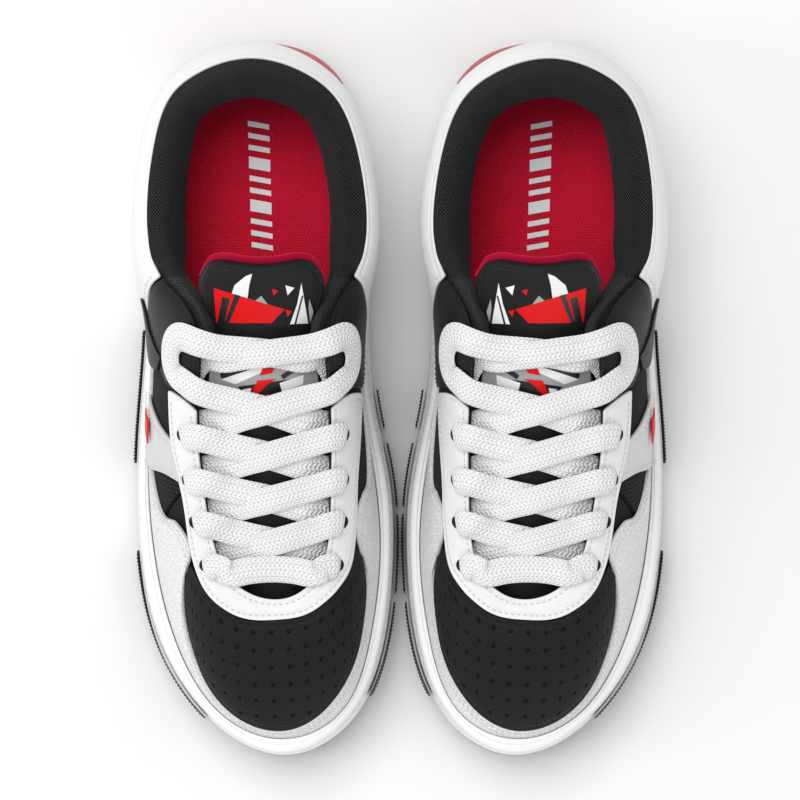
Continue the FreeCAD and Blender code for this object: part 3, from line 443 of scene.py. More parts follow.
TONGUE_HALF = [(84, 18.5), (92, 20.2), (98, 24.4), (104, 27), (112, 25), (119, 24.4),
               (130, 24.8), (145, 26), (200, 27), (248, 26)]
print(len(LAST), "stations round each shoe")

# %% [markdown]
# ## Smooth lines through a few numbers
#
# Three small curve functions serve the whole pair: a closed spline round the shoe, a side
# profile along it, and an open curve through the corners of a pattern piece.

# %% Curves
def place(x, s, z):
    """A point of the right shoe: x across it, s along it from the heel, z up."""
    return Vector((x - PITCH, MIDDLE - s, z)) / 1000.0


def ring_controls(values):
    """The controls of the closed cubic spline that passes through the values."""
    n = len(values)
    made = list(values)
    for _ in range(30):
        made = [made[i] + values[i] - (made[i - 1] + 4 * made[i] + made[(i + 1) % n]) / 6
                for i in range(n)]
    return made


LAST_RING = [ring_controls([row[k] for row in LAST]) for k in range(9)]
SOLE_RING = [ring_controls([row[k] for row in SOLE_OUTLINE]) for k in range(2)]


def round_shoe(ring, u):
    n = len(ring)
    i = math.floor(u)
    f = u - i
    a, b, c, d = (ring[(i + k) % n] for k in (-1, 0, 1, 2))
    return (a * (1 - f) ** 3 + b * (3 * f ** 3 - 6 * f ** 2 + 4)
            + c * (-3 * f ** 3 + 3 * f ** 2 + 3 * f + 1) + d * f ** 3) / 6


def profile(points, s):
    """The height of a side profile at s."""
    if s <= points[0][0]:
        return points[0][1]
    if s >= points[-1][0]:
        return points[-1][1]
    i = max(k for k in range(len(points) - 1) if points[k][0] <= s)

    def slope(k):
        a, b = points[max(k - 1, 0)], points[min(k + 1, len(points) - 1)]
        return (b[1] - a[1]) / (b[0] - a[0])

    (s0, z0), (s1, z1) = points[i], points[i + 1]
    h = s1 - s0
    f = (s - s0) / h
    return (z0 * (2 * f ** 3 - 3 * f ** 2 + 1) + h * slope(i) * (f ** 3 - 2 * f ** 2 + f)
            + z1 * (-2 * f ** 3 + 3 * f ** 2) + h * slope(i + 1) * (f ** 3 - f ** 2))


def through(points, share):
    """The place at a share (0 to 1) of a smooth open curve through points."""
    last = len(points) - 1
    i = min(int(share * last), last - 1)
    f = share * last - i
    p0, p1, p2, p3 = (points[min(max(k, 0), last)] for k in (i - 1, i, i + 1, i + 2))
    return tuple(0.5 * (2 * q1 + (q2 - q0) * f + (2 * q0 - 5 * q1 + 4 * q2 - q3) * f ** 2
                        + (3 * q1 - q0 - 3 * q2 + q3) * f ** 3)
                 for q0, q1, q2, q3 in zip(p0, p1, p2, p3))


def eased(x, low, high):
    f = min(max((x - low) / (high - low), 0.0), 1.0)
    return f * f * (3 - 2 * f)


def level_out(ring, u):
    """The level way out of an outline at u, as (x, s)."""
    dx = round_shoe(ring[0], u + 0.01) - round_shoe(ring[0], u - 0.01)
    ds = round_shoe(ring[1], u + 0.01) - round_shoe(ring[1], u - 0.01)
    long = math.hypot(dx, ds)
    return -ds / long, dx / long


def on_last(u, v, off=0.0):
    """The place at (u, v) on the last, off it by some millimetres."""
    bx, bs, lo, lu, tx, ts, tz, ho, hu = (round_shoe(ring, u) for ring in LAST_RING)
    nx, ns = level_out(LAST_RING, u)
    bz = profile(CUP_FLOOR, bs) + 0.2
    w = ((1 - v) ** 3, 3 * v * (1 - v) ** 2, 3 * v * v * (1 - v), v ** 3)
    here = place(
        w[0] * bx + w[1] * (bx + nx * lo) + w[2] * (tx + nx * ho) + w[3] * tx,
        w[0] * bs + w[1] * (bs + ns * lo) + w[2] * (ts + ns * ho) + w[3] * ts,
        w[0] * bz + w[1] * (bz + lu) + w[2] * (tz + hu) + w[3] * tz)
    return here + way_out(u, v) * (off / 1000.0) if off else here


def way_out(u, v):
    """The direction out of the last at (u, v)."""
    low, high = max(v - 0.004, 0.0), min(v + 0.004, 1.0)
    across = on_last(u + 0.004, v) - on_last(u - 0.004, v)
    return across.cross(on_last(u, high) - on_last(u, low)).normalized()


print("heel top", [round(c, 4) for c in on_last(0, 1)])

# %% [markdown]
# ## From a sheet to a piece of the pair
#
# Every piece is made for the right shoe and mirrored for the left, because shoes are made in
# mirrored pairs. A mirror turns a mesh inside out, so its faces are turned back before any wall
# gets its thickness. A sheet starts as a plain grid whose points are laid on the shoe; a UV map
# notes the millimetres along and across it, and the attribute rim notes how far each point lies
# from the cut edge.

# %% Laying sheets and finishing pieces
def laid_sheet(spot_at, along, across, chart="pattern", chart_at=None):
    """A grid laid on the shoe: spot_at(a, b) is the place for two shares from 0 to 1.

    The UV map holds the millimetres along and across the sheet, or what chart_at(a, b) says.
    """
    sheet = bmesh.new()
    layer = {key: sheet.verts.layers.float.new(key)
             for key in ("rim", "far", "up", "width", "height")}
    uv = sheet.loops.layers.uv.new(chart)
    bmesh.ops.create_grid(sheet, x_segments=along, y_segments=across, size=1.0)
    where = {}
    for point in sheet.verts:
        i = round((point.co.x + 1) / 2 * along)
        j = round((point.co.y + 1) / 2 * across)
        where[i, j] = point
    for (i, j), point in where.items():
        point.co = spot_at(i / along, j / across)
    marks = {}
    for i in range(along + 1):
        for j in range(across + 1):
            side = (where[i, j].co - where[i, j - 1].co).length if j else 0.0
            step = (where[i, j].co - where[i - 1, j].co).length if i else 0.0
            up = marks[i, j - 1][1] + side if j else 0.0
            far = marks[i - 1, j][0] + step if i else 0.0
            marks[i, j] = (far, up)
    for (i, j), point in where.items():
        far, up, width, height = (
            1000 * m for m in (*marks[i, j], marks[along, j][0], marks[i, across][1]))
        point[layer["far"]], point[layer["up"]] = far, up
        point[layer["width"]], point[layer["height"]] = width, height
        point[layer["rim"]] = min(far, up, width - far, height - up)
    charted = {point: chart_at(i / along, j / across) if chart_at
               else [1000 * m for m in marks[i, j]] for (i, j), point in where.items()}
    for face in sheet.faces:
        for corner in face.loops:
            corner[uv].uv = charted[corner.vert]
    return sheet


def between(lower, higher, off=0.0, bulge=0.0):
    """Lays a sheet between two lines of (u, v) corners, off the last by some millimetres."""
    def spot_at(a, b):
        u0, v0 = through(lower, a)
        u1, v1 = through(higher, a)
        u, v = u0 + (u1 - u0) * b, v0 + (v1 - v0) * b
        crown = (1 - (2 * b - 1) ** 4) * (1 - (2 * a - 1) ** 8)
        return on_last(u, v, off + bulge * crown)
    return spot_at


def level(v, *stations):
    return [(u, v) for u in stations]


def finish_piece(name, side, mesh, finishes, stands_for=(), slot=None, wall=None, round_edge=None,
                 smoother=0, body="shoe"):
    """Makes a mesh one piece of one shoe: its finishes, its modifiers and what it moves with."""
    piece = bpy.data.objects.new(f"{side}_{name}", mesh)
    scene.collection.objects.link(piece)
    for finish in finishes if isinstance(finishes, (list, tuple)) else [finishes]:
        mesh.materials.append(finish)
    mesh.polygons.foreach_set("use_smooth", [True] * len(mesh.polygons))
    if smoother:
        softer = piece.modifiers.new("smooth", "SUBSURF")
        softer.levels = softer.render_levels = smoother
    if wall:
        thick = piece.modifiers.new("thickness", "SOLIDIFY")
        thick.thickness, thick.offset = wall / 1000.0, 1.0
    if round_edge:
        edge = piece.modifiers.new("rounded edge", "BEVEL")
        edge.width, edge.segments = round_edge / 1000.0, 2
        edge.limit_method, edge.angle_limit = "ANGLE", math.radians(50)
    if body == "shoe":
        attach(piece, f"{side}_shoe")
    elif body == "flap":
        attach(piece, f"{side}_tongue_top")
    if stands_for:
        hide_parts(*[f"{side}_{node}" for node in stands_for])
    return piece


def pair(name, made, finishes, **how):
    """One piece for each shoe from a bmesh of the right one."""
    pieces = []
    for side in ("right", "left"):
        if side == "left":
            bmesh.ops.scale(made, vec=(-1.0, 1.0, 1.0), verts=made.verts)
            bmesh.ops.reverse_faces(made, faces=made.faces)
        mesh = bpy.data.meshes.new(f"{side}_{name}")
        made.to_mesh(mesh)
        pieces.append(finish_piece(name, side, mesh, finishes, **how))
    made.free()
    return pieces


print("ready to cut pieces")

# %% [markdown]
# ## Leather panels
#
# Each panel lies between a lower and an upper line. The sheet is smoothed, given its thickness
# outwards and its cut edges are rounded, the way an edge looks after it is trimmed and painted.
# The collar panels are padded, so they bulge a little in the middle.

# %% The panels of the upper
HEEL_LOW, HEEL_HIGH = level(0.02, -4.9, -2.5, 0, 2.5, 4.9), level(0.985, -3.85, -2, 0, 2, 3.85)
GUARD_LOW = level(0.02, 4.96, 6, 7, 7.7, 8.3, 9.1, 10, 10.9, 11.7, 12.4, 13.1, 14, 15.04)
GUARD_HIGH = [(4.72, 0.27), (5.8, 0.3), (6.8, 0.46), (7.15, 0.63), (7.5, 0.725), (7.72, 0.715),
              (7.86, 0.6), (8.2, 0.455), (9.1, 0.33), (10, 0.31), (10.9, 0.39), (11.7, 0.4),
              (12.35, 0.44), (12.5, 0.56), (12.66, 0.65), (12.95, 0.645), (13.25, 0.56),
              (13.7, 0.43), (15.2, 0.31)]
TOE_LOW = [(7.84, 0.62), (8.15, 0.51), (8.55, 0.428), (9.1, 0.334), (10, 0.314), (10.9, 0.394),
           (11.6, 0.404), (12.2, 0.45), (12.47, 0.56)]
TOE_HIGH = [(7.84, 0.71), (8.15, 0.745), (8.5, 0.785), (9.05, 0.836), (10, 0.896), (10.9, 0.856),
            (11.5, 0.785), (12, 0.71), (12.44, 0.665)]
STAY_LOW = [(5.64, 0.71), (6.3, 0.72), (7, 0.765), (7.7, 0.735), (8.3, 0.76), (9.05, 0.84),
            (10, 0.9), (10.9, 0.86), (11.55, 0.785), (12.2, 0.685), (12.8, 0.665), (13.4, 0.655),
            (14.5, 0.53)]
STAY_HIGH = level(0.985, 6.03, 6.5, 7.1, 7.8, 8.5, 9.2, 10, 10.8, 11.5, 12.2, 12.9, 13.5, 13.97)
OUTER_LOW = [(4.4, 0.57), (4.75, 0.55), (5.2, 0.6), (5.57, 0.7)]
OUTER_HIGH = level(0.985, 3.93, 4.6, 5.3, 5.96)
INNER_LOW = [(14.6, 0.52), (14.9, 0.44), (15.3, 0.43), (15.52, 0.5)]
INNER_HIGH = level(0.985, 14.04, 14.7, 15.4, 16.07)
STRAP_BACK = [(5, 0.19), (5.5, 0.42), (5.9, 0.58), (6.22, 0.72)]
STRAP_FRONT = [(5.95, 0.2), (6.25, 0.42), (6.5, 0.6), (6.8, 0.775)]
FIN_LOW = [(4.05, 0.56), (4.5, 0.43), (5, 0.47), (5.3, 0.61)]
FIN_HIGH = [(4.12, 0.6), (4.55, 0.55), (4.95, 0.6), (5.2, 0.67)]

for name, low, high, finish, along, across, bulge, slot in (
        ("heel_quarter", HEEL_LOW, HEEL_HIGH, smooth_white, 60, 16, 0.0, "white_leather"),
        ("mudguard", GUARD_LOW, GUARD_HIGH, pebbled_white, 130, 8, 0.0, "white_leather"),
        ("eyestay", STAY_LOW, STAY_HIGH, smooth_white, 120, 10, 0.0, "white_leather"),
        ("collar_panel_outer", OUTER_LOW, OUTER_HIGH, smooth_black, 30, 14, 0.9, "black_leather"),
        ("collar_panel_inner", INNER_LOW, INNER_HIGH, smooth_black, 30, 14, 0.9, "black_leather")):
    pair(name, laid_sheet(between(low, high, 0.0, bulge), along, across), finish,
         stands_for=[name], slot=slot, wall=1.4, round_edge=0.5, smoother=1)
pair("saddle_strap", laid_sheet(between(STRAP_BACK, STRAP_FRONT, 1.6), 24, 10), pale_satin,
     stands_for=["saddle_strap"], slot="satin_strap", wall=1.2, round_edge=0.4, smoother=1)
pair("side_fin", laid_sheet(between(FIN_LOW, FIN_HIGH, 1.6), 20, 6), smooth_black,
     stands_for=["side_fin"], slot="black_leather", wall=1.2, round_edge=0.5, smoother=1)
BADGE = [(5.36, 0.3), (5.52, 0.36), (5.68, 0.42)], [(5.56, 0.27), (5.72, 0.33), (5.9, 0.39)]
pair("strap_badge", laid_sheet(between(BADGE[0], BADGE[1], 3.0), 6, 4), print_red,
     stands_for=["strap_badge"], slot="red_plastic", wall=0.7, round_edge=0.25)
print("eight panels on each shoe")

# %% [markdown]
# ## The perforated toe box
#
# Rows of small holes let the toes breathe. They follow the upper edge of the panel, so the row
# and the place in it are written to a second UV map, counted in holes. An attribute switches
# off the holes that would run into the edge. The dimples themselves are relief, and painted
# shade for the dark inside each hole, in the leather's material, which keeps them round however
# the panel curves.

# %% Toe box with its rows of holes
HOLE_PITCH = 7.4
toe = laid_sheet(between(TOE_LOW, TOE_HIGH), 100, 60)
chart = toe.loops.layers.uv.new("holes")
punched = toe.verts.layers.float.new("punched")
layer = {key: toe.verts.layers.float[key] for key in ("rim", "far", "up", "width", "height")}
hole_spot, nearest = {}, {}
for point in toe.verts:
    across = (point[layer["far"]] - point[layer["width"]] / 2) / HOLE_PITCH + 0.5
    down = (point[layer["height"]] - point[layer["up"]] - 4.8) / HOLE_PITCH
    hole_spot[point] = (across, down)
    cell = (round(across), round(down))
    miss = math.hypot(across - cell[0], down - cell[1])
    if miss < nearest.get(cell, (9.0, 0.0))[0]:
        nearest[cell] = (miss, point[layer["rim"]])
for point, (across, down) in hole_spot.items():
    miss, rim_there = nearest[round(across), round(down)]
    point[punched] = 1.0 if miss < 0.2 and rim_there > 2.6 else 0.0
for face in toe.faces:
    for corner in face.loops:
        corner[chart].uv = hole_spot[corner.vert]
pair("toe_box", toe, perforated_black, stands_for=["toe_box"], slot="black_leather", wall=1.4,
     round_edge=0.5)
print("holes in each toe box", sum(1 for miss, rim in nearest.values() if miss < 0.2 and rim > 2.6))

# %% [markdown]
# ## Seams
#
# The panels are sewn along their edges with thick thread, one row or two. Each stitch is one
# small rounded bead of a few faces, laid along a line at a fixed distance from the cut edge.
# All the stitches of one colour in one shoe are one piece.

# %% Stitch rows
def seam_line(lower, higher, inset, off, start=0.0, end=1.0, count=160, far_edge=False):
    """Places and ways out along a line inset from the lower edge, or from the higher one."""
    if far_edge:
        lower, higher = higher, lower
    line = []
    for k in range(count + 1):
        a = start + (end - start) * k / count
        (u0, v0), (u1, v1) = through(lower, a), through(higher, a)
        reach = 1000 * (on_last(u0, v0) - on_last(u1, v1)).length
        share = inset / max(reach, 1.0)
        u, v = u0 + (u1 - u0) * share, v0 + (v1 - v0) * share
        line.append((on_last(u, v, off), way_out(u, v)))
    return line


def end_line(lower, higher, a, off, start=0.05, end=0.95, count=60):
    """A line across a panel, at a share of its length."""
    (u0, v0), (u1, v1) = through(lower, a), through(higher, a)
    line = []
    for k in range(count + 1):
        b = start + (end - start) * k / count
        u, v = u0 + (u1 - u0) * b, v0 + (v1 - v0) * b
        line.append((on_last(u, v, off), way_out(u, v)))
    return line


def sew(beads, line, pitch=2.6, long=1.75, thick=0.62):
    """Lays stitches along a line of places."""
    due = pitch / 2
    walked = 0.0
    for (here, out), (ahead, _) in zip(line, line[1:]):
        step = (ahead - here).length * 1000
        while step > 1e-9 and walked + step >= due:
            spot = here.lerp(ahead, (due - walked) / step)
            run = (ahead - here).normalized()
            wide = out.cross(run).normalized()
            up = run.cross(wide)
            turn = Matrix((run * long / 2, wide * thick / 2, up * thick / 2)).transposed() * 0.001
            bmesh.ops.create_uvsphere(beads, u_segments=6, v_segments=4, radius=1.0,
                                      matrix=Matrix.Translation(spot) @ turn.to_4x4())
            due += pitch
        walked += step


# %% [markdown]
# ## Sewing the panels
#
# White thread holds the white panels and the strap, black thread the collar panels. The insets, in
# millimetres from the edge, leave one row or two, and every row is sewn by the same function,
# so a change to the stitch changes every seam of the pair.

# %% White and black rows
white_seams = bmesh.new()
for low, high, inset, off, far_edge in (
        (GUARD_LOW, GUARD_HIGH, 1.7, 1.45, True), (GUARD_LOW, GUARD_HIGH, 3.9, 1.45, True),
        (STAY_LOW, STAY_HIGH, 2.0, 1.45, False), (STAY_LOW, STAY_HIGH, 2.2, 1.45, True),
        (STRAP_BACK, STRAP_FRONT, 1.8, 2.85, False), (STRAP_BACK, STRAP_FRONT, 1.8, 2.85, True)):
    sew(white_seams, seam_line(low, high, inset, off, 0.02, 0.98, 260, far_edge))
for a in (0.022, 0.978):
    sew(white_seams, end_line(HEEL_LOW, HEEL_HIGH, a, 1.45))
pair("white_stitching", white_seams, white_thread, slot="white_leather")
black_seams = bmesh.new()
for low, high in ((OUTER_LOW, OUTER_HIGH), (INNER_LOW, INNER_HIGH)):
    sew(black_seams, seam_line(low, high, 2.0, 1.75, 0.06, 0.94))
    for a in (0.07, 0.93):
        sew(black_seams, end_line(low, high, a, 1.75, 0.15, 0.85))
pair("black_stitching", black_seams, black_thread, slot="black_leather")
print("seams sewn")

# %% [markdown]
# ## Linings and mesh windows
#
# Under the leather lies the lining. It shows inside the heel, and through the windows between
# the panels as a black open mesh. Inside the heel it gets the black lining's finish, as painted
# shade in the gap between footbed and collar. These sheets use the same method with a knitted
# finish.

# %% Linings
MESH_OUT = level(0.005, 4, 5.4, 6.87), [(4, 0.95), (5.4, 0.972), (6.87, 0.97)]
MESH_IN = level(0.005, 13.13, 14.6, 16), [(13.13, 0.97), (14.6, 0.972), (16, 0.95)]
for name, (low, high), finish, slot, wall in (
        ("side_mesh_outer", MESH_OUT, window_mesh, "black_mesh", 2.4),
        ("side_mesh_inner", MESH_IN, window_mesh, "black_mesh", 2.4),
        ("vamp_lining", (level(0.005, 6.9, 8.4, 10, 11.6, 13.1),
                         level(0.97, 6.9, 8.4, 10, 11.6, 13.1)), black_lining_and_heel_shade, "black_mesh", 1.2),
        # Painted shade: the heel lining, a red textile piece, gets the black lining finish for the dark gap
        # between footbed and collar.
        ("heel_lining", (level(0.005, -3.97, -2, 0, 2, 3.97), level(0.56, -3.97, -2, 0, 2, 3.97)),
         black_lining_and_heel_shade, "red_textile", 1.2)):
    pair(name, laid_sheet(between(low, high, -2.6), 40, 16, "weave"), finish,
         stands_for=[name], slot=slot, wall=wall, smoother=1)
print("four linings")

# %% [markdown]
# ## The collar
#
# A roll of foam under a thick knit runs round the ankle and thins out towards the lacing. A
# closed section of a few points is carried round the topline and the seam of the resulting
# tube is merged. The roll is then let out like a cushion: a short cloth simulation with a
# little pressure inside fills it, and how far any point may move is capped, so that the roll
# stays in its place.

# %% The padded collar
def topline_way(u):
    here = on_last(u, 1.0)
    run = on_last(u + 0.05, 1.0) - on_last(u - 0.05, 1.0)
    return here, Vector((run.y, -run.x, 0.0)).normalized()


def collar_section(u):
    """The roll's section at a station, as a closed ring of places."""
    slim = 1.0 - 0.62 * eased(abs(u), 3.1, 4.7)
    base = -0.3 - 2.8 * eased(abs(u), 3.5, 3.92)
    foot = 0.6 + 0.22 * eased(abs(u), 3.2, 4.7)
    top, out = topline_way(u)
    pad = 13.0 * slim / 1000
    up = Vector((0.0, 0.0, 0.001))
    lip = on_last(u, 0.98, base)
    return [on_last(u, foot, base - 2.0 * slim) - out * pad * 0.5 + up * 3.0 * slim,
            top - out * pad * 1.02 - up * 9.0 * slim,
            top - out * pad - up * 2.0 * slim,
            top - out * pad * 0.78 + up * 2.6 * slim,
            top - out * pad * 0.42 + up * 4.2 * slim,
            lip + up * 1.2 - out * 0.0004,
            on_last(u, 0.93, base),
            on_last(u, (foot + 0.93) / 2, base),
            on_last(u, foot, base)]


def collar_spot(a, b):
    ring = collar_section(-5.2 + 10.4 * a)
    n = len(ring)
    i, f = int(b * n) % n, b * n - int(b * n)
    p0, p1, p2, p3 = (ring[(i + k) % n] for k in (-1, 0, 1, 2))
    return 0.5 * (2 * p1 + (p2 - p0) * f + (2 * p0 - 5 * p1 + 4 * p2 - p3) * f * f
                  + (3 * p1 - p0 - 3 * p2 + p3) * f ** 3)


# %% [markdown]
# ## Letting a pad out
#
# Foam under cloth is never a flat box: it stands fullest in the middle and pulls in at its
# seams. A cloth simulation with pressure inside finds that shape by itself. It runs for a few
# frames, its result is written into the mesh, and the modifier is removed again.

# %% Filling by pressure
def filled(mesh, cap, pressure=4.0, frames=20):
    """Lets a closed mesh out by cloth pressure; no point moves further than cap millimetres."""
    form = bpy.data.objects.new("filling", mesh)
    scene.collection.objects.link(form)
    cloth = form.modifiers.new("pressure", "CLOTH")
    cloth.settings.use_pressure = True
    cloth.settings.uniform_pressure_force = pressure
    cloth.settings.effector_weights.gravity = 0.0
    cloth.settings.quality = 5
    rest = [point.co.copy() for point in mesh.vertices]
    for frame_number in range(1, frames + 1):
        scene.frame_set(frame_number)
    moved = form.evaluated_get(bpy.context.evaluated_depsgraph_get()).to_mesh()
    shifts = [new.co - old for new, old in zip(moved.vertices, rest)]
    form.modifiers.remove(cloth)
    for point, old, shift in zip(mesh.vertices, rest, shifts):
        far = shift.length * 1000
        point.co = old + shift * (cap / far if far > cap else 1.0)
    scene.frame_set(1)
    bpy.data.objects.remove(form)
    print("filled", mesh.name, "by up to", round(max(s.length for s in shifts) * 1000, 2), "mm")
    return mesh


def closed_tube(made):
    """Merges the seam of a rolled sheet and closes its two ends."""
    bmesh.ops.remove_doubles(made, verts=made.verts, dist=1e-6)
    ends = [edge for edge in made.edges if edge.is_boundary]
    bmesh.ops.holes_fill(made, edges=ends, sides=200)
    bmesh.ops.recalc_face_normals(made, faces=made.faces)
    return made


def padded_pair(name, made, finishes, fill, cap, smoother=1, **how):
    """Fills a padded piece once, on the right shoe, and mirrors the result for the left."""
    first = bpy.data.meshes.new(f"filled_{name}")
    made.to_mesh(first)
    made.free()
    filled(first, cap)
    full = bmesh.new()
    full.from_mesh(first)
    bpy.data.meshes.remove(first)
    pieces = pair(name, full, finishes, smoother=smoother, **how)
    return pieces


# %% Rolling the collar
COLLAR_LONG, COLLAR_ROUND = 330.0, 85.5
THIN_FROM = 99.0
collar = closed_tube(laid_sheet(collar_spot, 150, 30, "weave",
                                lambda a, b: (a * COLLAR_LONG, b * COLLAR_ROUND)))
for face in collar.faces:
    face.material_index = int(MIDDLE - face.calc_center_median().y * 1000 > THIN_FROM)
padded_pair("collar_padding", collar, [collar_knit, coarse_rib], 0.8, 0.9,
            stands_for=["collar_padding"], slot="black_knit")
print("collar rolled")

# %% [markdown]
# ## The tongue and its printed flap
#
# The tongue is a long pad from the toe to above the lacing. Its top is thick and soft, and it
# folds over when the foot goes in, so the piece bends between the shoe and the folding top. A
# grid is laid on its face, extruded down to its back and filled a little. Its lining is red.

# %% Tongue
def tongue_way(s):
    slope = (profile(TONGUE_RIDGE, s + 0.5) - profile(TONGUE_RIDGE, s - 0.5))
    long = math.hypot(slope, 1.0)
    return -slope / long, 1.0 / long


def on_tongue(x, s, lift=0.0):
    """A place over the tongue's face: x across the shoe, s along it, lift off the face."""
    ns, nz = tongue_way(s)
    off = (x - profile(TONGUE_MIDDLE, s)) / 30.0
    return place(x, s + ns * lift, profile(TONGUE_RIDGE, s) - 10.0 * off * off + nz * lift)


def tongue_depth(s):
    return 3.4 + 4.1 * (1.0 - eased(s, 98.0, 150.0))


def tongue_sheet(s0, s1, lift, share=1.0, wave=3.2, along=60, across=28):
    """Lays a grid on the tongue between two places along it."""
    def spot_at(b, c):
        a = 2.0 * c - 1.0
        start = s0 + wave * (1.0 - 1.5 * a * a + 1.4 * a ** 6) * (1.0 - b)
        s = start + (s1 - start) * b
        return on_tongue(profile(TONGUE_MIDDLE, s) + share * a * profile(TONGUE_HALF, s), s,
                         lift(s))
    return laid_sheet(spot_at, along, across, "weave")


def thickened(sheet, depth):
    """Extrudes a laid sheet into a closed pad; depth(s) is its thickness at a place along it."""
    walls = bmesh.ops.extrude_face_region(sheet, geom=sheet.faces[:])
    for point in (g for g in walls["geom"] if isinstance(g, bmesh.types.BMVert)):
        s = MIDDLE - point.co.y * 1000
        ns, nz = tongue_way(s)
        point.co += Vector((0.0, -ns, nz)) * (depth(s) / -1000)
    bmesh.ops.recalc_face_normals(sheet, faces=sheet.faces)
    return sheet


# %% [markdown]
# ## A flap that folds
#
# The flap and the tongue below it are two bodies that meet at a hinge, but the real leather is
# one piece that bends. So the tongue rides on no single body: it is blended between the two,
# over a few millimetres on each side of the hinge, along the direction in which it lies.

# %% Tongue, its lining and its label
FOLD_REACH = 0.007
fold = Vector([j for j in frame["joints"] if j["name"] == "right_tongue_fold"][0]["pos_m"])
lean = Vector((0.0, 0.83, 0.557))


def fold_with_flap(pieces):
    """Bends pieces of the tongue across its fold, over a length of 14 mm."""
    for side, piece in zip(("right", "left"), pieces):
        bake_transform(piece, f"{side}_shoe", f"{side}_tongue_top", start=fold - lean * FOLD_REACH,
                 end=fold + lean * FOLD_REACH)


tongue = thickened(tongue_sheet(92.8, 244.0, lambda s: -0.4, share=0.96),
                   lambda s: tongue_depth(s) - 0.9)
tongues = padded_pair("tongue", tongue, smooth_black, 0.5, 0.8, body=None,
                      stands_for=["tongue", "tongue_flap"], slot="black_leather")
fold_with_flap(tongues)
lining = tongue_sheet(92.5, 103.0, lambda s: -tongue_depth(s) - 1.1, share=0.94, along=14)
pair("tongue_lining", lining, red_lining, body="flap", stands_for=["tongue_lining"],
     slot="red_textile", wall=0.9, smoother=1)
label = tongue_sheet(126.5, 151.0, lambda s: 0.3, share=0.86, wave=0.0, along=24)
labels = pair("tongue_label", label, print_grey, stands_for=["tongue_label"], slot="woven_label",
              wall=0.7, round_edge=0.25, smoother=1)
print("tongue, lining and label")

# %% [markdown]
# ## Printed patches
#
# A print is a film on top of something soft. Each patch starts as one flat face with a few
# corners. Cuts every two millimetres give it points to bend at, and each point is then dropped
# onto the pad below, found by casting a ray, so that the film follows the filled shape.

# %% Films
def film(shapes, spot_at, step=2.0):
    """Flat patches cut into small faces, each laid a little over the one before it.

    Shapes are (finish, corners), and spot_at(x, y, lift) is the place of a point.
    """
    sheet = bmesh.new()
    layer = 0.0
    for number, corners in shapes:
        layer += 0.02
        face = sheet.faces.new([sheet.verts.new((x, y, layer)) for x, y in corners])
        face.material_index = number
    bmesh.ops.recalc_face_normals(sheet, faces=sheet.faces)
    for axis in (0, 1):
        low = min(v.co[axis] for v in sheet.verts)
        high = max(v.co[axis] for v in sheet.verts)
        cut = low + step
        while cut < high:
            at, facing = [0.0, 0.0, 0.0], [0.0, 0.0, 0.0]
            at[axis], facing[axis] = cut, 1.0
            bmesh.ops.bisect_plane(sheet, geom=sheet.verts[:] + sheet.edges[:] + sheet.faces[:],
                                   dist=1e-5, plane_co=at, plane_no=facing)
            cut += step
    for point in sheet.verts:
        point.co = spot_at(*point.co)
    sheet.normal_update()
    for face in sheet.faces[:]:
        if face.normal.z < 0:
            bmesh.ops.reverse_faces(sheet, faces=[face])
    return sheet


def surface_under(piece):
    """A function that drops a place over a piece onto its finished surface."""
    tree = BVHTree.FromObject(piece, bpy.context.evaluated_depsgraph_get())

    def drop(above, down, lift):
        hit, normal, _, _ = tree.ray_cast(above, down)
        return hit - down * (lift / 1000) if hit else above + down * 0.008
    return drop


on_pad = surface_under(tongues[0])
on_label = surface_under(labels[0])


def over_tongue(drop):
    def spot_at(x, s, lift):
        above = on_tongue(x, s, 8.0)
        return drop(above, (on_tongue(x, s, 0.0) - above).normalized(), 0.05 + lift)
    return spot_at


# %% [markdown]
# ## Plain shapes on the flap and the label
#
# The flap carries triangles and slanted bars, and so does the woven label between the bands of
# the lace. The shapes are corners in millimetres, across the tongue and along it, each with the
# number of its colour. Each is laid a hair higher than the one before, so none flickers.

# %% Prints of the flap
PRINTS = (print_white, print_red, print_grey, print_black)
flap_patches = [
    (0, [(-2.2, 98.0), (-5.0, 99.0), (-9.5, 102.5), (-11.5, 108.0), (-4.5, 108.5), (-3.5, 102.5)]),
    (1, [(-18.0, 103.5), (10.5, 112.0), (5.0, 117.5), (-17.5, 117.5)]),
    (3, [(-14.6, 106.9), (-11.5, 107.8), (-14.0, 117.6), (-17.0, 117.6)]),
    (3, [(-9.4, 106.0), (-7.2, 106.6), (-12.2, 117.6), (-14.0, 117.6)]),
    (2, [(-1.2, 108.6), (3.8, 110.0), (1.2, 106.6)]),
    (0, [(17.4, 101.5), (19.8, 118.0), (12.5, 118.0), (15.5, 110.0)]),
    (3, [(17.5, 106.5), (18.1, 106.7), (15.0, 118.1), (14.2, 118.1)]),
    (2, [(20.4, 108.0), (22.0, 113.5), (20.6, 118.0), (20.0, 112.0)]),
    (1, [(5.6, 103.8), (8.2, 104.6), (6.2, 106.4)]),
    (1, [(10.8, 112.0), (13.4, 112.8), (11.6, 115.0)]),
    (0, [(11.0, 102.4), (14.6, 103.4), (11.8, 106.4)]),
]
flap_print = film(flap_patches, over_tongue(on_pad))
fold_with_flap(pair("flap_print", flap_print, PRINTS, body=None, slot="woven_label"))
print("flap print", len(flap_patches), "patches")

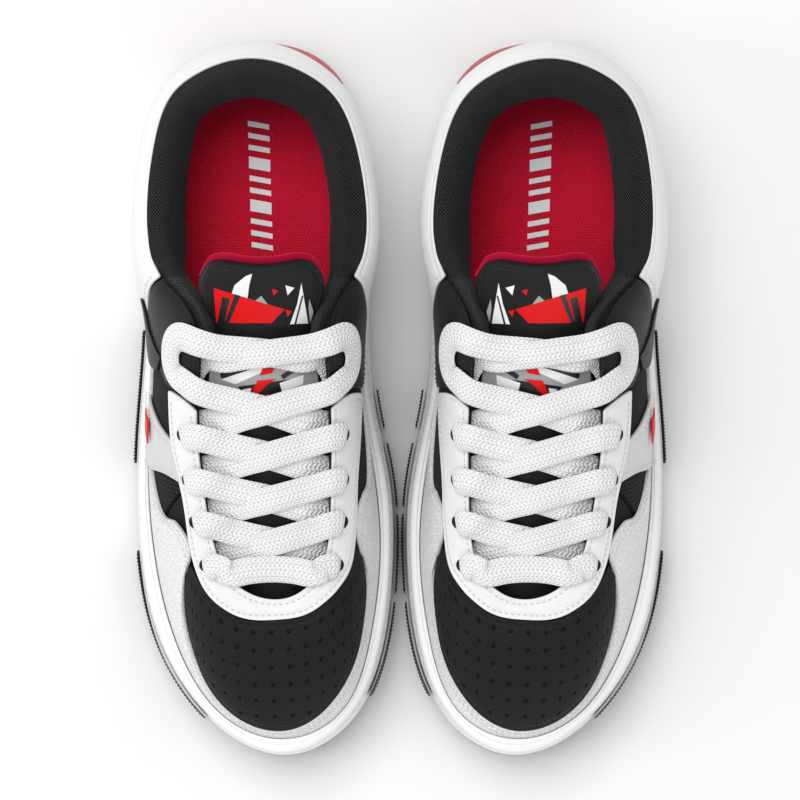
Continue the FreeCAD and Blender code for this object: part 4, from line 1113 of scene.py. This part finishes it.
# %% Weave of the label
label_patches = [
    (0, [(-18.0, 128.0), (-3.0, 131.0), (-17.0, 137.5)]),
    (3, [(-16.5, 133.5), (0.0, 133.0), (-8.0, 140.5), (-16.0, 139.5)]),
    (0, [(-16.0, 140.0), (2.5, 134.0), (3.5, 136.0), (-10.0, 142.0)]),
    (3, [(-9.0, 143.0), (15.5, 139.5), (10.0, 150.5), (-4.0, 150.5)]),
    (1, [(3.0, 130.5), (9.5, 129.5), (5.0, 137.5), (0.0, 138.5)]),
    (1, [(-1.0, 140.5), (7.0, 139.8), (3.5, 141.6), (-2.5, 147.5), (-4.0, 147.0)]),
    (0, [(10.0, 129.0), (17.5, 131.0), (17.5, 137.0)]),
    (3, [(8.5, 138.4), (18.0, 132.0), (18.0, 134.5), (9.5, 140.0)]),
    (0, [(8.0, 141.5), (17.8, 138.0), (17.5, 142.0), (9.0, 145.0)]),
    (0, [(-7.0, 144.0), (-3.5, 143.5), (-4.5, 148.5)]),
    (1, [(2.0, 146.6), (3.0, 145.8), (6.4, 149.4), (5.4, 150.2)]),
    (1, [(5.4, 145.8), (6.4, 146.6), (3.0, 150.2), (2.0, 149.4)]),
]
pair("label_print", film(label_patches, over_tongue(on_label)), PRINTS, slot="woven_label")
print("prints laid")

# %% [markdown]
# ## Footbed
#
# The footbed is foam under red cloth, dished up a little along its edge. A grid is wrapped
# round the sole's middle line, so that its rings follow the outline, and the seam is merged.
# Plain white bars lie on it, as a printed band does.

# %% The footbed and its band
def at_height(u, z, off):
    """The place on the last at station u where it reaches a height."""
    low, high = 0.0, 0.6
    for _ in range(16):
        v = (low + high) / 2
        if on_last(u, v, off).z * 1000 < z:
            low = v
        else:
            high = v
    return on_last(u, low, off)


def bed_top(s):
    return profile(CUP_FLOOR, s) + 6.7


BED_EDGE = {}


def bed_spot(a, b):
    u = 20.0 * (a % 1.0)
    if u not in BED_EDGE:
        s = round_shoe(LAST_RING[1], u)
        BED_EDGE[u] = at_height(u, bed_top(s) + 2.0, -3.3)
    edge = BED_EDGE[u]
    s_edge = MIDDLE - edge.y * 1000
    s_core = 36.0 + (max(min(s_edge, 290.0), 12.0) - 12.0) / 278.0 * 222.0
    x_core = -2.0 + 5.0 * eased(s_core, 60.0, 240.0)
    x = (edge.x * 1000 + PITCH) * b + x_core * (1 - b)
    s = s_edge * b + s_core * (1 - b)
    return place(x, s, bed_top(s) + 2.0 * b ** 6)


bed = laid_sheet(bed_spot, 120, 14, "weave")
bmesh.ops.remove_doubles(bed, verts=bed.verts, dist=2e-5)
bmesh.ops.recalc_face_normals(bed, faces=bed.faces)
if sum(f.normal.z for f in bed.faces) < 0:
    bmesh.ops.reverse_faces(bed, faces=bed.faces)
for piece in pair("footbed", bed, red_twill, stands_for=["footbed"], slot="red_textile"):
    foam = piece.modifiers.new("foam", "SOLIDIFY")
    foam.thickness, foam.offset = 0.0045, -1.0

# %% [markdown]
# ## The band on the footbed
#
# A band of slanted bars runs down the heel of the footbed. The bars are the same kind of film
# as the prints, laid just over the cloth.

# %% Bars
BAR_WIDE, BAR_SLANT = 9.0, 1.6
bars = []
for s, long in ((31, 2.2), (36, 2.2), (41, 2.2), (46, 5.0), (54, 2.2), (59, 2.2), (64, 5.0),
                (72, 2.2), (77, 2.2), (82, 2.2)):
    left = -3.6 - BAR_WIDE / 2 + s * 0.03
    right = left + BAR_WIDE
    bars.append((0, [(left, s), (right, s + BAR_SLANT), (right, s + BAR_SLANT + long),
                     (left, s + long)]))
pair("footbed_band", film(bars, lambda x, s, lift: place(x, s, bed_top(s) + 0.3)), (print_white,),
     slot="red_textile")
print("footbed laid, with", len(bars), "bars")

# %% [markdown]
# ## The cup sole
#
# The sole is one white moulding: a side wall that leans in towards its top, a groove with
# stitches near the rim and a narrow land against the upper. One closed section is carried
# round the shoe. Black ribbed rubber wraps and a red heel clip sit on the wall.

# %% Sole wall
def wall_spot(u, z, out=0.0):
    nx, ns = level_out(SOLE_RING, u)
    inset = profile(WALL_SECTIONS, z) - out
    return place(round_shoe(SOLE_RING[0], u) - nx * inset,
                 round_shoe(SOLE_RING[1], u) - ns * inset, z)


def wall_range(u):
    """The heights of the white wall's lower edge and of its rim at a station."""
    s = round_shoe(SOLE_RING[1], u)
    return profile(GROUND, s) + 5.2, profile(CUP_RIM, s)


def wall_section(u):
    """The white moulding's section at a station, as a closed ring of places."""
    low, top = wall_range(u)
    outer = [(low, 0.4), (low + 0.5, 0.0), (low + 5.0, 0.0), (low + 9.0, 0.0), (top - 9.5, 0.0),
             (top - 7.6, 0.0), (top - 7.1, -0.7), (top - 5.9, -0.7), (top - 5.4, 0.0),
             (top - 3.0, 0.0), (top - 1.2, -0.1), (top - 0.35, -0.6), (top, -1.4)]
    ring = [wall_spot(u, z, out) for z, out in outer]
    inner = at_height(u, top - 1.0, 1.55)
    edge = ring[-1]
    down = Vector((0.0, 0.0, -0.001))
    for share, drop in ((0.3, 0.0), (0.42, 0.15), (0.47, 0.75), (0.54, 0.75), (0.6, 0.35),
                        (0.9, 0.55), (1.0, 1.0)):
        spot = edge.lerp(inner, share)
        ring.append(Vector((spot.x, spot.y, edge.z)) + down * drop)
    deep = at_height(u, max(top - 8.0, low + 1.0), 1.75)
    ring.append(deep)
    ring.append(Vector((deep.x, deep.y, low / 1000)))
    return ring


SECTIONS = 240
rings = [wall_section(20.0 * k / SECTIONS) for k in range(SECTIONS)]
points = len(rings[0])
wall = laid_sheet(lambda a, b: rings[round(a * SECTIONS) % SECTIONS][round(b * points) % points],
                  SECTIONS, points)
bmesh.ops.remove_doubles(wall, verts=wall.verts, dist=1e-7)
bmesh.ops.recalc_face_normals(wall, faces=wall.faces)
pair("midsole", wall, white_rubber, stands_for=["midsole"], slot="white_rubber", smoother=1)

# %% [markdown]
# ## The seam in the sole's groove
#
# The thread that holds the cup sole to the upper lies in a groove near the rim. Its stitches
# are longer than the upper's, but the same function sews them, along the wall.

# %% Stitches in the groove
channel = bmesh.new()
line = []
for k in range(601):
    u = 20.0 * k / 600
    nx, ns = level_out(SOLE_RING, u)
    line.append((wall_spot(u, wall_range(u)[1] - 6.5, -0.5), Vector((nx, -ns, 0.0))))
sew(channel, line, 4.6, 3.2, 0.9)
pair("sole_stitching", channel, white_thread, slot="white_leather")

# %% [markdown]
# ## Rubber wraps
#
# Six black strips are let into the side wall. Fine upright ribs run along them, which a cosine
# puts into the points of the sheet, and they fade out towards the strip's own edges. The sheet
# is solidified by an operator here, because all six strips are joined into one piece.

# %% Ribbed strips
WRAPS = ((4.2, 5.88), (6.92, 8.95), (11.4, 12.5), (12.6, 13.53), (13.62, 14.44), (14.62, 15.1))
wraps = bmesh.new()
for start, stop in WRAPS:
    def wrap_spot(a, b, start=start, stop=stop):
        u = start + (stop - start) * a
        low, top = wall_range(u)
        low -= 5.2
        z = low + 6.5 + (min(low + 17.0, top - 2.0) - low - 6.5) * b
        along = a * (stop - start) * 36.0
        rib = 0.5 + 0.5 * math.cos(math.tau * along / 1.5)
        end = min(eased(a, 0.0, 0.03), eased(1 - a, 0.0, 0.03))
        return wall_spot(u, z, 1.5 + (0.5 * rib * (1 - (2 * b - 1) ** 8)) * end)
    strip = laid_sheet(wrap_spot, int((stop - start) * 120), 8)
    if sum((f.normal.dot(f.calc_center_median() + Vector((PITCH / 1000, 0, 0)))
            for f in strip.faces), 0.0) < 0:
        bmesh.ops.reverse_faces(strip, faces=strip.faces)
    bmesh.ops.solidify(strip, geom=strip.faces[:], thickness=0.0012)
    passing = bpy.data.meshes.new("wrap")
    strip.to_mesh(passing)
    wraps.from_mesh(passing)
    strip.free()
    bpy.data.meshes.remove(passing)
pair("rubber_wraps", wraps, black_rubber, stands_for=["rubber_wraps"], slot="tread_rubber")


# %% [markdown]
# ## Heel clip
#
# A red moulded clip wraps the back of the wall, with a thin black line above it. Both are
# sheets on the wall with a thickness, their edges rounded by a bevel.

# %% Clip and line
def clip_spot(a, b):
    u = -1.35 + 2.7 * a
    low = wall_range(u)[0] - 5.2
    return wall_spot(u, low + 12.0 + 17.0 * b, 0.5 + 0.5 * (1 - (2 * b - 1) ** 4))


def clip_line_spot(a, b):
    u = -1.1 + 2.2 * a
    low = wall_range(u)[0] - 5.2
    return wall_spot(u, low + 29.4 + 1.2 * b, 0.3)


pair("heel_clip", laid_sheet(clip_spot, 40, 12), red_plastic, stands_for=["heel_clip"],
     slot="red_plastic", wall=1.3, round_edge=0.5, smoother=1)
pair("heel_clip_line", laid_sheet(clip_line_spot, 40, 2), black_line, slot="tread_rubber",
     wall=0.9, round_edge=0.2)
print("sole, wraps and clips")

# %% [markdown]
# ## The lace
#
# One flat lace runs through the whole front. It goes over the leather, down through an eyelet,
# under the edge and across the tongue to the other side. The route is a list of places, each
# with the way out of the lace and its width, because a flat lace must know which way it faces.
# A smooth curve runs through them, its sharp corners are rounded, and where it bends in its own
# plane it gets narrower, as a real lace crumples.

# %% The lace's route
WIDE, THICK, EYELET = 12.2, 1.9, 0.85
EYELET_ROWS, TURN_ROWS = (217.0, 199.0, 181.5, 163.0), (140.0, 122.4)
OVER, UNDER = 1.9 + THICK / 2, -3.2 - THICK / 2


def station_at(s, v, side):
    """The station on one side (-1 outer, 1 inner) where the last at v lies at s."""
    low, high = (4.3, 9.6) if side < 0 else (10.4, 15.7)
    for _ in range(24):
        mid = (low + high) / 2
        here = MIDDLE - on_last(mid, v).y * 1000
        if (here < s) == (side < 0):
            low = mid
        else:
            high = mid
    return (low + high) / 2


def on_side(s, v, off, side, sign, wide=WIDE, thick=THICK):
    u = station_at(s, v, side)
    return on_last(u, v, off), way_out(u, v) * sign, wide, thick


def through_eyelet(s, side, sign):
    """Over the leather, down through an eyelet and back under it."""
    u = station_at(s, EYELET, side)
    n = way_out(u, EYELET)
    far = on_side(s, EYELET - 0.03, 0.0, side, sign)[0]
    o = (far - on_side(s, EYELET + 0.03, 0.0, side, sign)[0]).normalized()
    middle = (OVER + UNDER) / 2

    def spot(v, off, tilt, wide, thick):
        lean = n * math.cos(math.radians(tilt)) + o * math.sin(math.radians(tilt))
        return on_side(s, v, off, side, sign)[0], lean * sign, wide, thick

    return [spot(EYELET + 0.08, OVER, 0, WIDE, THICK),
            spot(EYELET + 0.03, OVER + 0.6, 10, WIDE * 0.95, THICK),
            spot(EYELET - 0.004, OVER + 0.2, 40, 9.0, 2.0),
            spot(EYELET - 0.02, middle, 90, 5.0, 2.0),
            spot(EYELET + 0.004, UNDER, 135, 4.4, 2.0),
            spot(EYELET + 0.035, UNDER - 0.5, 170, 7.0, 2.0),
            spot(EYELET + 0.08, UNDER, 180, WIDE, THICK)]


def on_pad_knot(x, s, lift, sign):
    ns, nz = tongue_way(s)
    off = (x - profile(TONGUE_MIDDLE, s)) / 30.0
    tip = Vector((20.0 * off / 30.0, -ns, nz)).normalized()
    seat = 0.45 + THICK / 2 + 1.0 * (1.0 - eased(s, 156.0, 166.0))
    return on_tongue(x, s, seat + lift), tip * sign, WIDE, THICK


def crossing(s0, s1, side, sign, on_top):
    """From under the edge at s0 on one side to over the other edge at s1."""
    step = THICK + 0.45
    mid = profile(TONGUE_MIDDLE, (s0 + s1) / 2)

    def spot(x, lift, share):
        return on_pad_knot(mid + x * side, s0 + (s1 - s0) * share, lift, sign)

    return [on_side(s0, 0.985, UNDER - 0.3, side, sign), spot(17.5, 0.6, 0.16),
            spot(9.0, 0.9 if on_top else 0.1, 0.33), spot(0.0, step + 0.1 if on_top else 0.1, 0.5),
            spot(-9.0, step + 0.1 if on_top else 1.5, 0.67), spot(-17.0, step + 0.6, 0.83),
            on_side(s1, 0.985, OVER + 0.75, -side, sign)]


def lace_half(side, over):
    """Knots from the middle of the lowest bar out to one free end."""
    sign = 1.0
    knots = [on_pad_knot(4.2 + side * x, EYELET_ROWS[0], lift, sign)
             for x, lift in ((4.0, 3.2), (12.0, 5.4), (19.0, 8.4))]
    knots.append(on_side(EYELET_ROWS[0], 0.985, OVER + 0.9, side, sign))
    for i, s in enumerate(EYELET_ROWS):
        knots += through_eyelet(s, side, sign)
        sign = -sign
        ahead = EYELET_ROWS[i + 1] if i < 3 else TURN_ROWS[0] + 3.5
        knots += crossing(s - 3.0, ahead, side, sign, over == -side)
        side = -side
    middle, half = sum(TURN_ROWS) / 2, (TURN_ROWS[0] - TURN_ROWS[1]) / 2
    for k in range(7):
        a = math.pi * k / 6
        knots.append(on_side(middle + half * math.cos(a), 0.885 - 0.105 * math.sin(a),
                             OVER + 0.1, side, sign))
    knots += reversed(crossing(132.5, TURN_ROWS[1] + 2.0, -side, sign, over == side))
    for s, v in ((134.0, 0.93), (138.5, 0.87), (146.0, 0.8), (156.0, 0.73), (167.0, 0.67)):
        knots.append(on_side(s, v, UNDER - 0.1, -side, sign))
    knots.append(on_side(178.0, 0.62, UNDER - 0.3, -side, sign, 6.0, 1.9))
    knots.append(on_side(186.0, 0.585, UNDER - 0.5, -side, sign, 2.0, 1.6))
    return knots


# %% [markdown]
# ## From knots to an even path
#
# The knots are far apart, so a cubic curve runs through every one of their values at once: the
# place, the way the lace faces, its width and its thickness. Averaging each value with its
# neighbours, pass after pass, rounds off what a soft lace would never do as a corner.

# %% Even steps along the route
def flowing(knots, pitch):
    """The knots' values at an even pitch along a smooth curve through them."""
    marks = [0.0]
    for a, b in zip(knots, knots[1:]):
        marks.append(marks[-1] + (b[0] - a[0]).length * 1000)
    rows = [[*k[0], *k[1], k[2], k[3]] for k in knots]
    n = len(rows)

    def slope(i, c):
        if i in (0, n - 1):
            j = 0 if i == 0 else n - 2
            return (rows[j + 1][c] - rows[j][c]) / (marks[j + 1] - marks[j])
        h0, h1 = marks[i] - marks[i - 1], marks[i + 1] - marks[i]
        return ((rows[i][c] - rows[i - 1][c]) / h0 * h1
                + (rows[i + 1][c] - rows[i][c]) / h1 * h0) / (h0 + h1)

    count, made, i = int(marks[-1] / pitch), [], 0
    for k in range(count + 1):
        at = marks[-1] * k / count
        while i < n - 2 and marks[i + 1] < at:
            i += 1
        h = marks[i + 1] - marks[i]
        f = (at - marks[i]) / h
        made.append([rows[i][c] * (2 * f ** 3 - 3 * f ** 2 + 1)
                     + h * slope(i, c) * (f ** 3 - 2 * f ** 2 + f)
                     + rows[i + 1][c] * (3 * f ** 2 - 2 * f ** 3)
                     + h * slope(i + 1, c) * (f ** 3 - f ** 2) for c in range(8)])
    return made


def softened(values, passes):
    for _ in range(passes):
        values = [values[0]] + [(a + b * 2 + c) * 0.25 for a, b, c in
                                zip(values, values[1:], values[2:])] + [values[-1]]
    return values


# %% [markdown]
# ## Weaving the ribbon
#
# A grid is rolled into a flat tube along the path and its seam is merged. Its section is nearly
# a rectangle with soft corners, crowned a little. The UV map counts millimetres across and
# along the lace, whatever way it turns, so the chevrons of the finish follow every bend.

# %% The ribbon
LACE_PITCH = 0.95


def lace_mesh(over):
    """A flat tube along the route, crowned a little, with soft corners."""
    knots = list(reversed(lace_half(-1.0, over))) + lace_half(1.0, over)
    path = flowing(knots, LACE_PITCH)
    spots = softened([Vector(p[:3]) for p in path], 13)
    facing = softened([Vector(p[3:6]) for p in path], 26)
    last = len(path) - 1
    aheads = [(spots[min(i + 1, last)] - spots[max(i - 1, 0)]).normalized()
              for i in range(last + 1)]
    halves, frames = [], []
    for i, p in enumerate(path):
        wide = aheads[i].cross(facing[i]).normalized()
        before, after = max(i - 2, 0), min(i + 2, last)
        bend = abs((aheads[after] - aheads[before]).dot(wide))
        run = (spots[after] - spots[before]).length * 1000
        halves.append(min(p[6] / 2, 0.8 * run / max(bend, 1e-6)))
        frames.append((wide, wide.cross(aheads[i]).normalized()))
    halves = softened(halves, 6)
    around = 18

    def spot_at(a, b):
        i = round(a * last)
        wide, out = frames[i]
        turn = math.tau * (b % 1.0)
        c, s = -math.cos(turn), math.sin(turn)
        x = math.copysign(abs(c) ** 0.75, c) * halves[i]
        y = math.copysign(abs(s) ** 0.55, s) * path[i][7] / 2 + 0.25 * (1 - (x / (WIDE / 2)) ** 2)
        return spots[i] + (wide * x + out * y) / 1000

    tube = laid_sheet(spot_at, last, around, "weave", lambda a, b: (
        -WIDE / 2 * math.cos(math.tau * b), a * last * LACE_PITCH))
    length = sum((b - a).length for a, b in zip(spots, spots[1:]))
    print("lace", round(length * 1000), "mm long")
    return closed_tube(tube)


for side, over in (("right", 1.0), ("left", -1.0)):
    ribbon = lace_mesh(over)
    if side == "left":
        bmesh.ops.scale(ribbon, vec=(-1.0, 1.0, 1.0), verts=ribbon.verts)
        bmesh.ops.recalc_face_normals(ribbon, faces=ribbon.faces)
    mesh = bpy.data.meshes.new(f"{side}_lace")
    ribbon.to_mesh(mesh)
    ribbon.free()
    finish_piece("lace", side, mesh, white_braid, stands_for=["lace"], slot="white_lace",
                 smoother=1)

# %% [markdown]
# ## Eyelets
#
# The eyelets are plain punched holes. Seen beside the lace they are small dark discs, so a
# black disc of painted shadow just over the leather stands for each.

# %% Painted shadow discs in the eyelets
holes = bmesh.new()
for s in EYELET_ROWS:
    for side in (-1.0, 1.0):
        u = station_at(s, EYELET, side)
        turn = way_out(u, EYELET).to_track_quat("Z", "Y").to_matrix().to_4x4()
        bmesh.ops.create_circle(holes, cap_ends=True, segments=20, radius=0.0029,
                                matrix=Matrix.Translation(on_last(u, EYELET, 1.5)) @ turn)
pair("eyelet_shadows", holes, eyelet_shadow, slot="black_leather")
print("laced through", 2 * len(EYELET_ROWS), "eyelets in each shoe")

# %% [markdown]
# ## The pieces that stay as they are
#
# The outsole's tread, the board, the stiffeners and the lace's tips have the right shape in the
# frame already. They only get a finish.

# %% Finishes for the frame's own pieces
STAYS = {"outsole": tread_rubber, "insole_board": fibre_board, "heel_counter": stiff_sheet,
         "toe_puff": stiff_sheet, "lace_tips": clear_plastic}
for side in ("right", "left"):
    for node, finish in STAYS.items():
        for place_for in frame["nodes"][f"{side}_{node}"].material_slots:
            place_for.material = finish
print("finished", len(STAYS) * 2, "pieces of the frame")
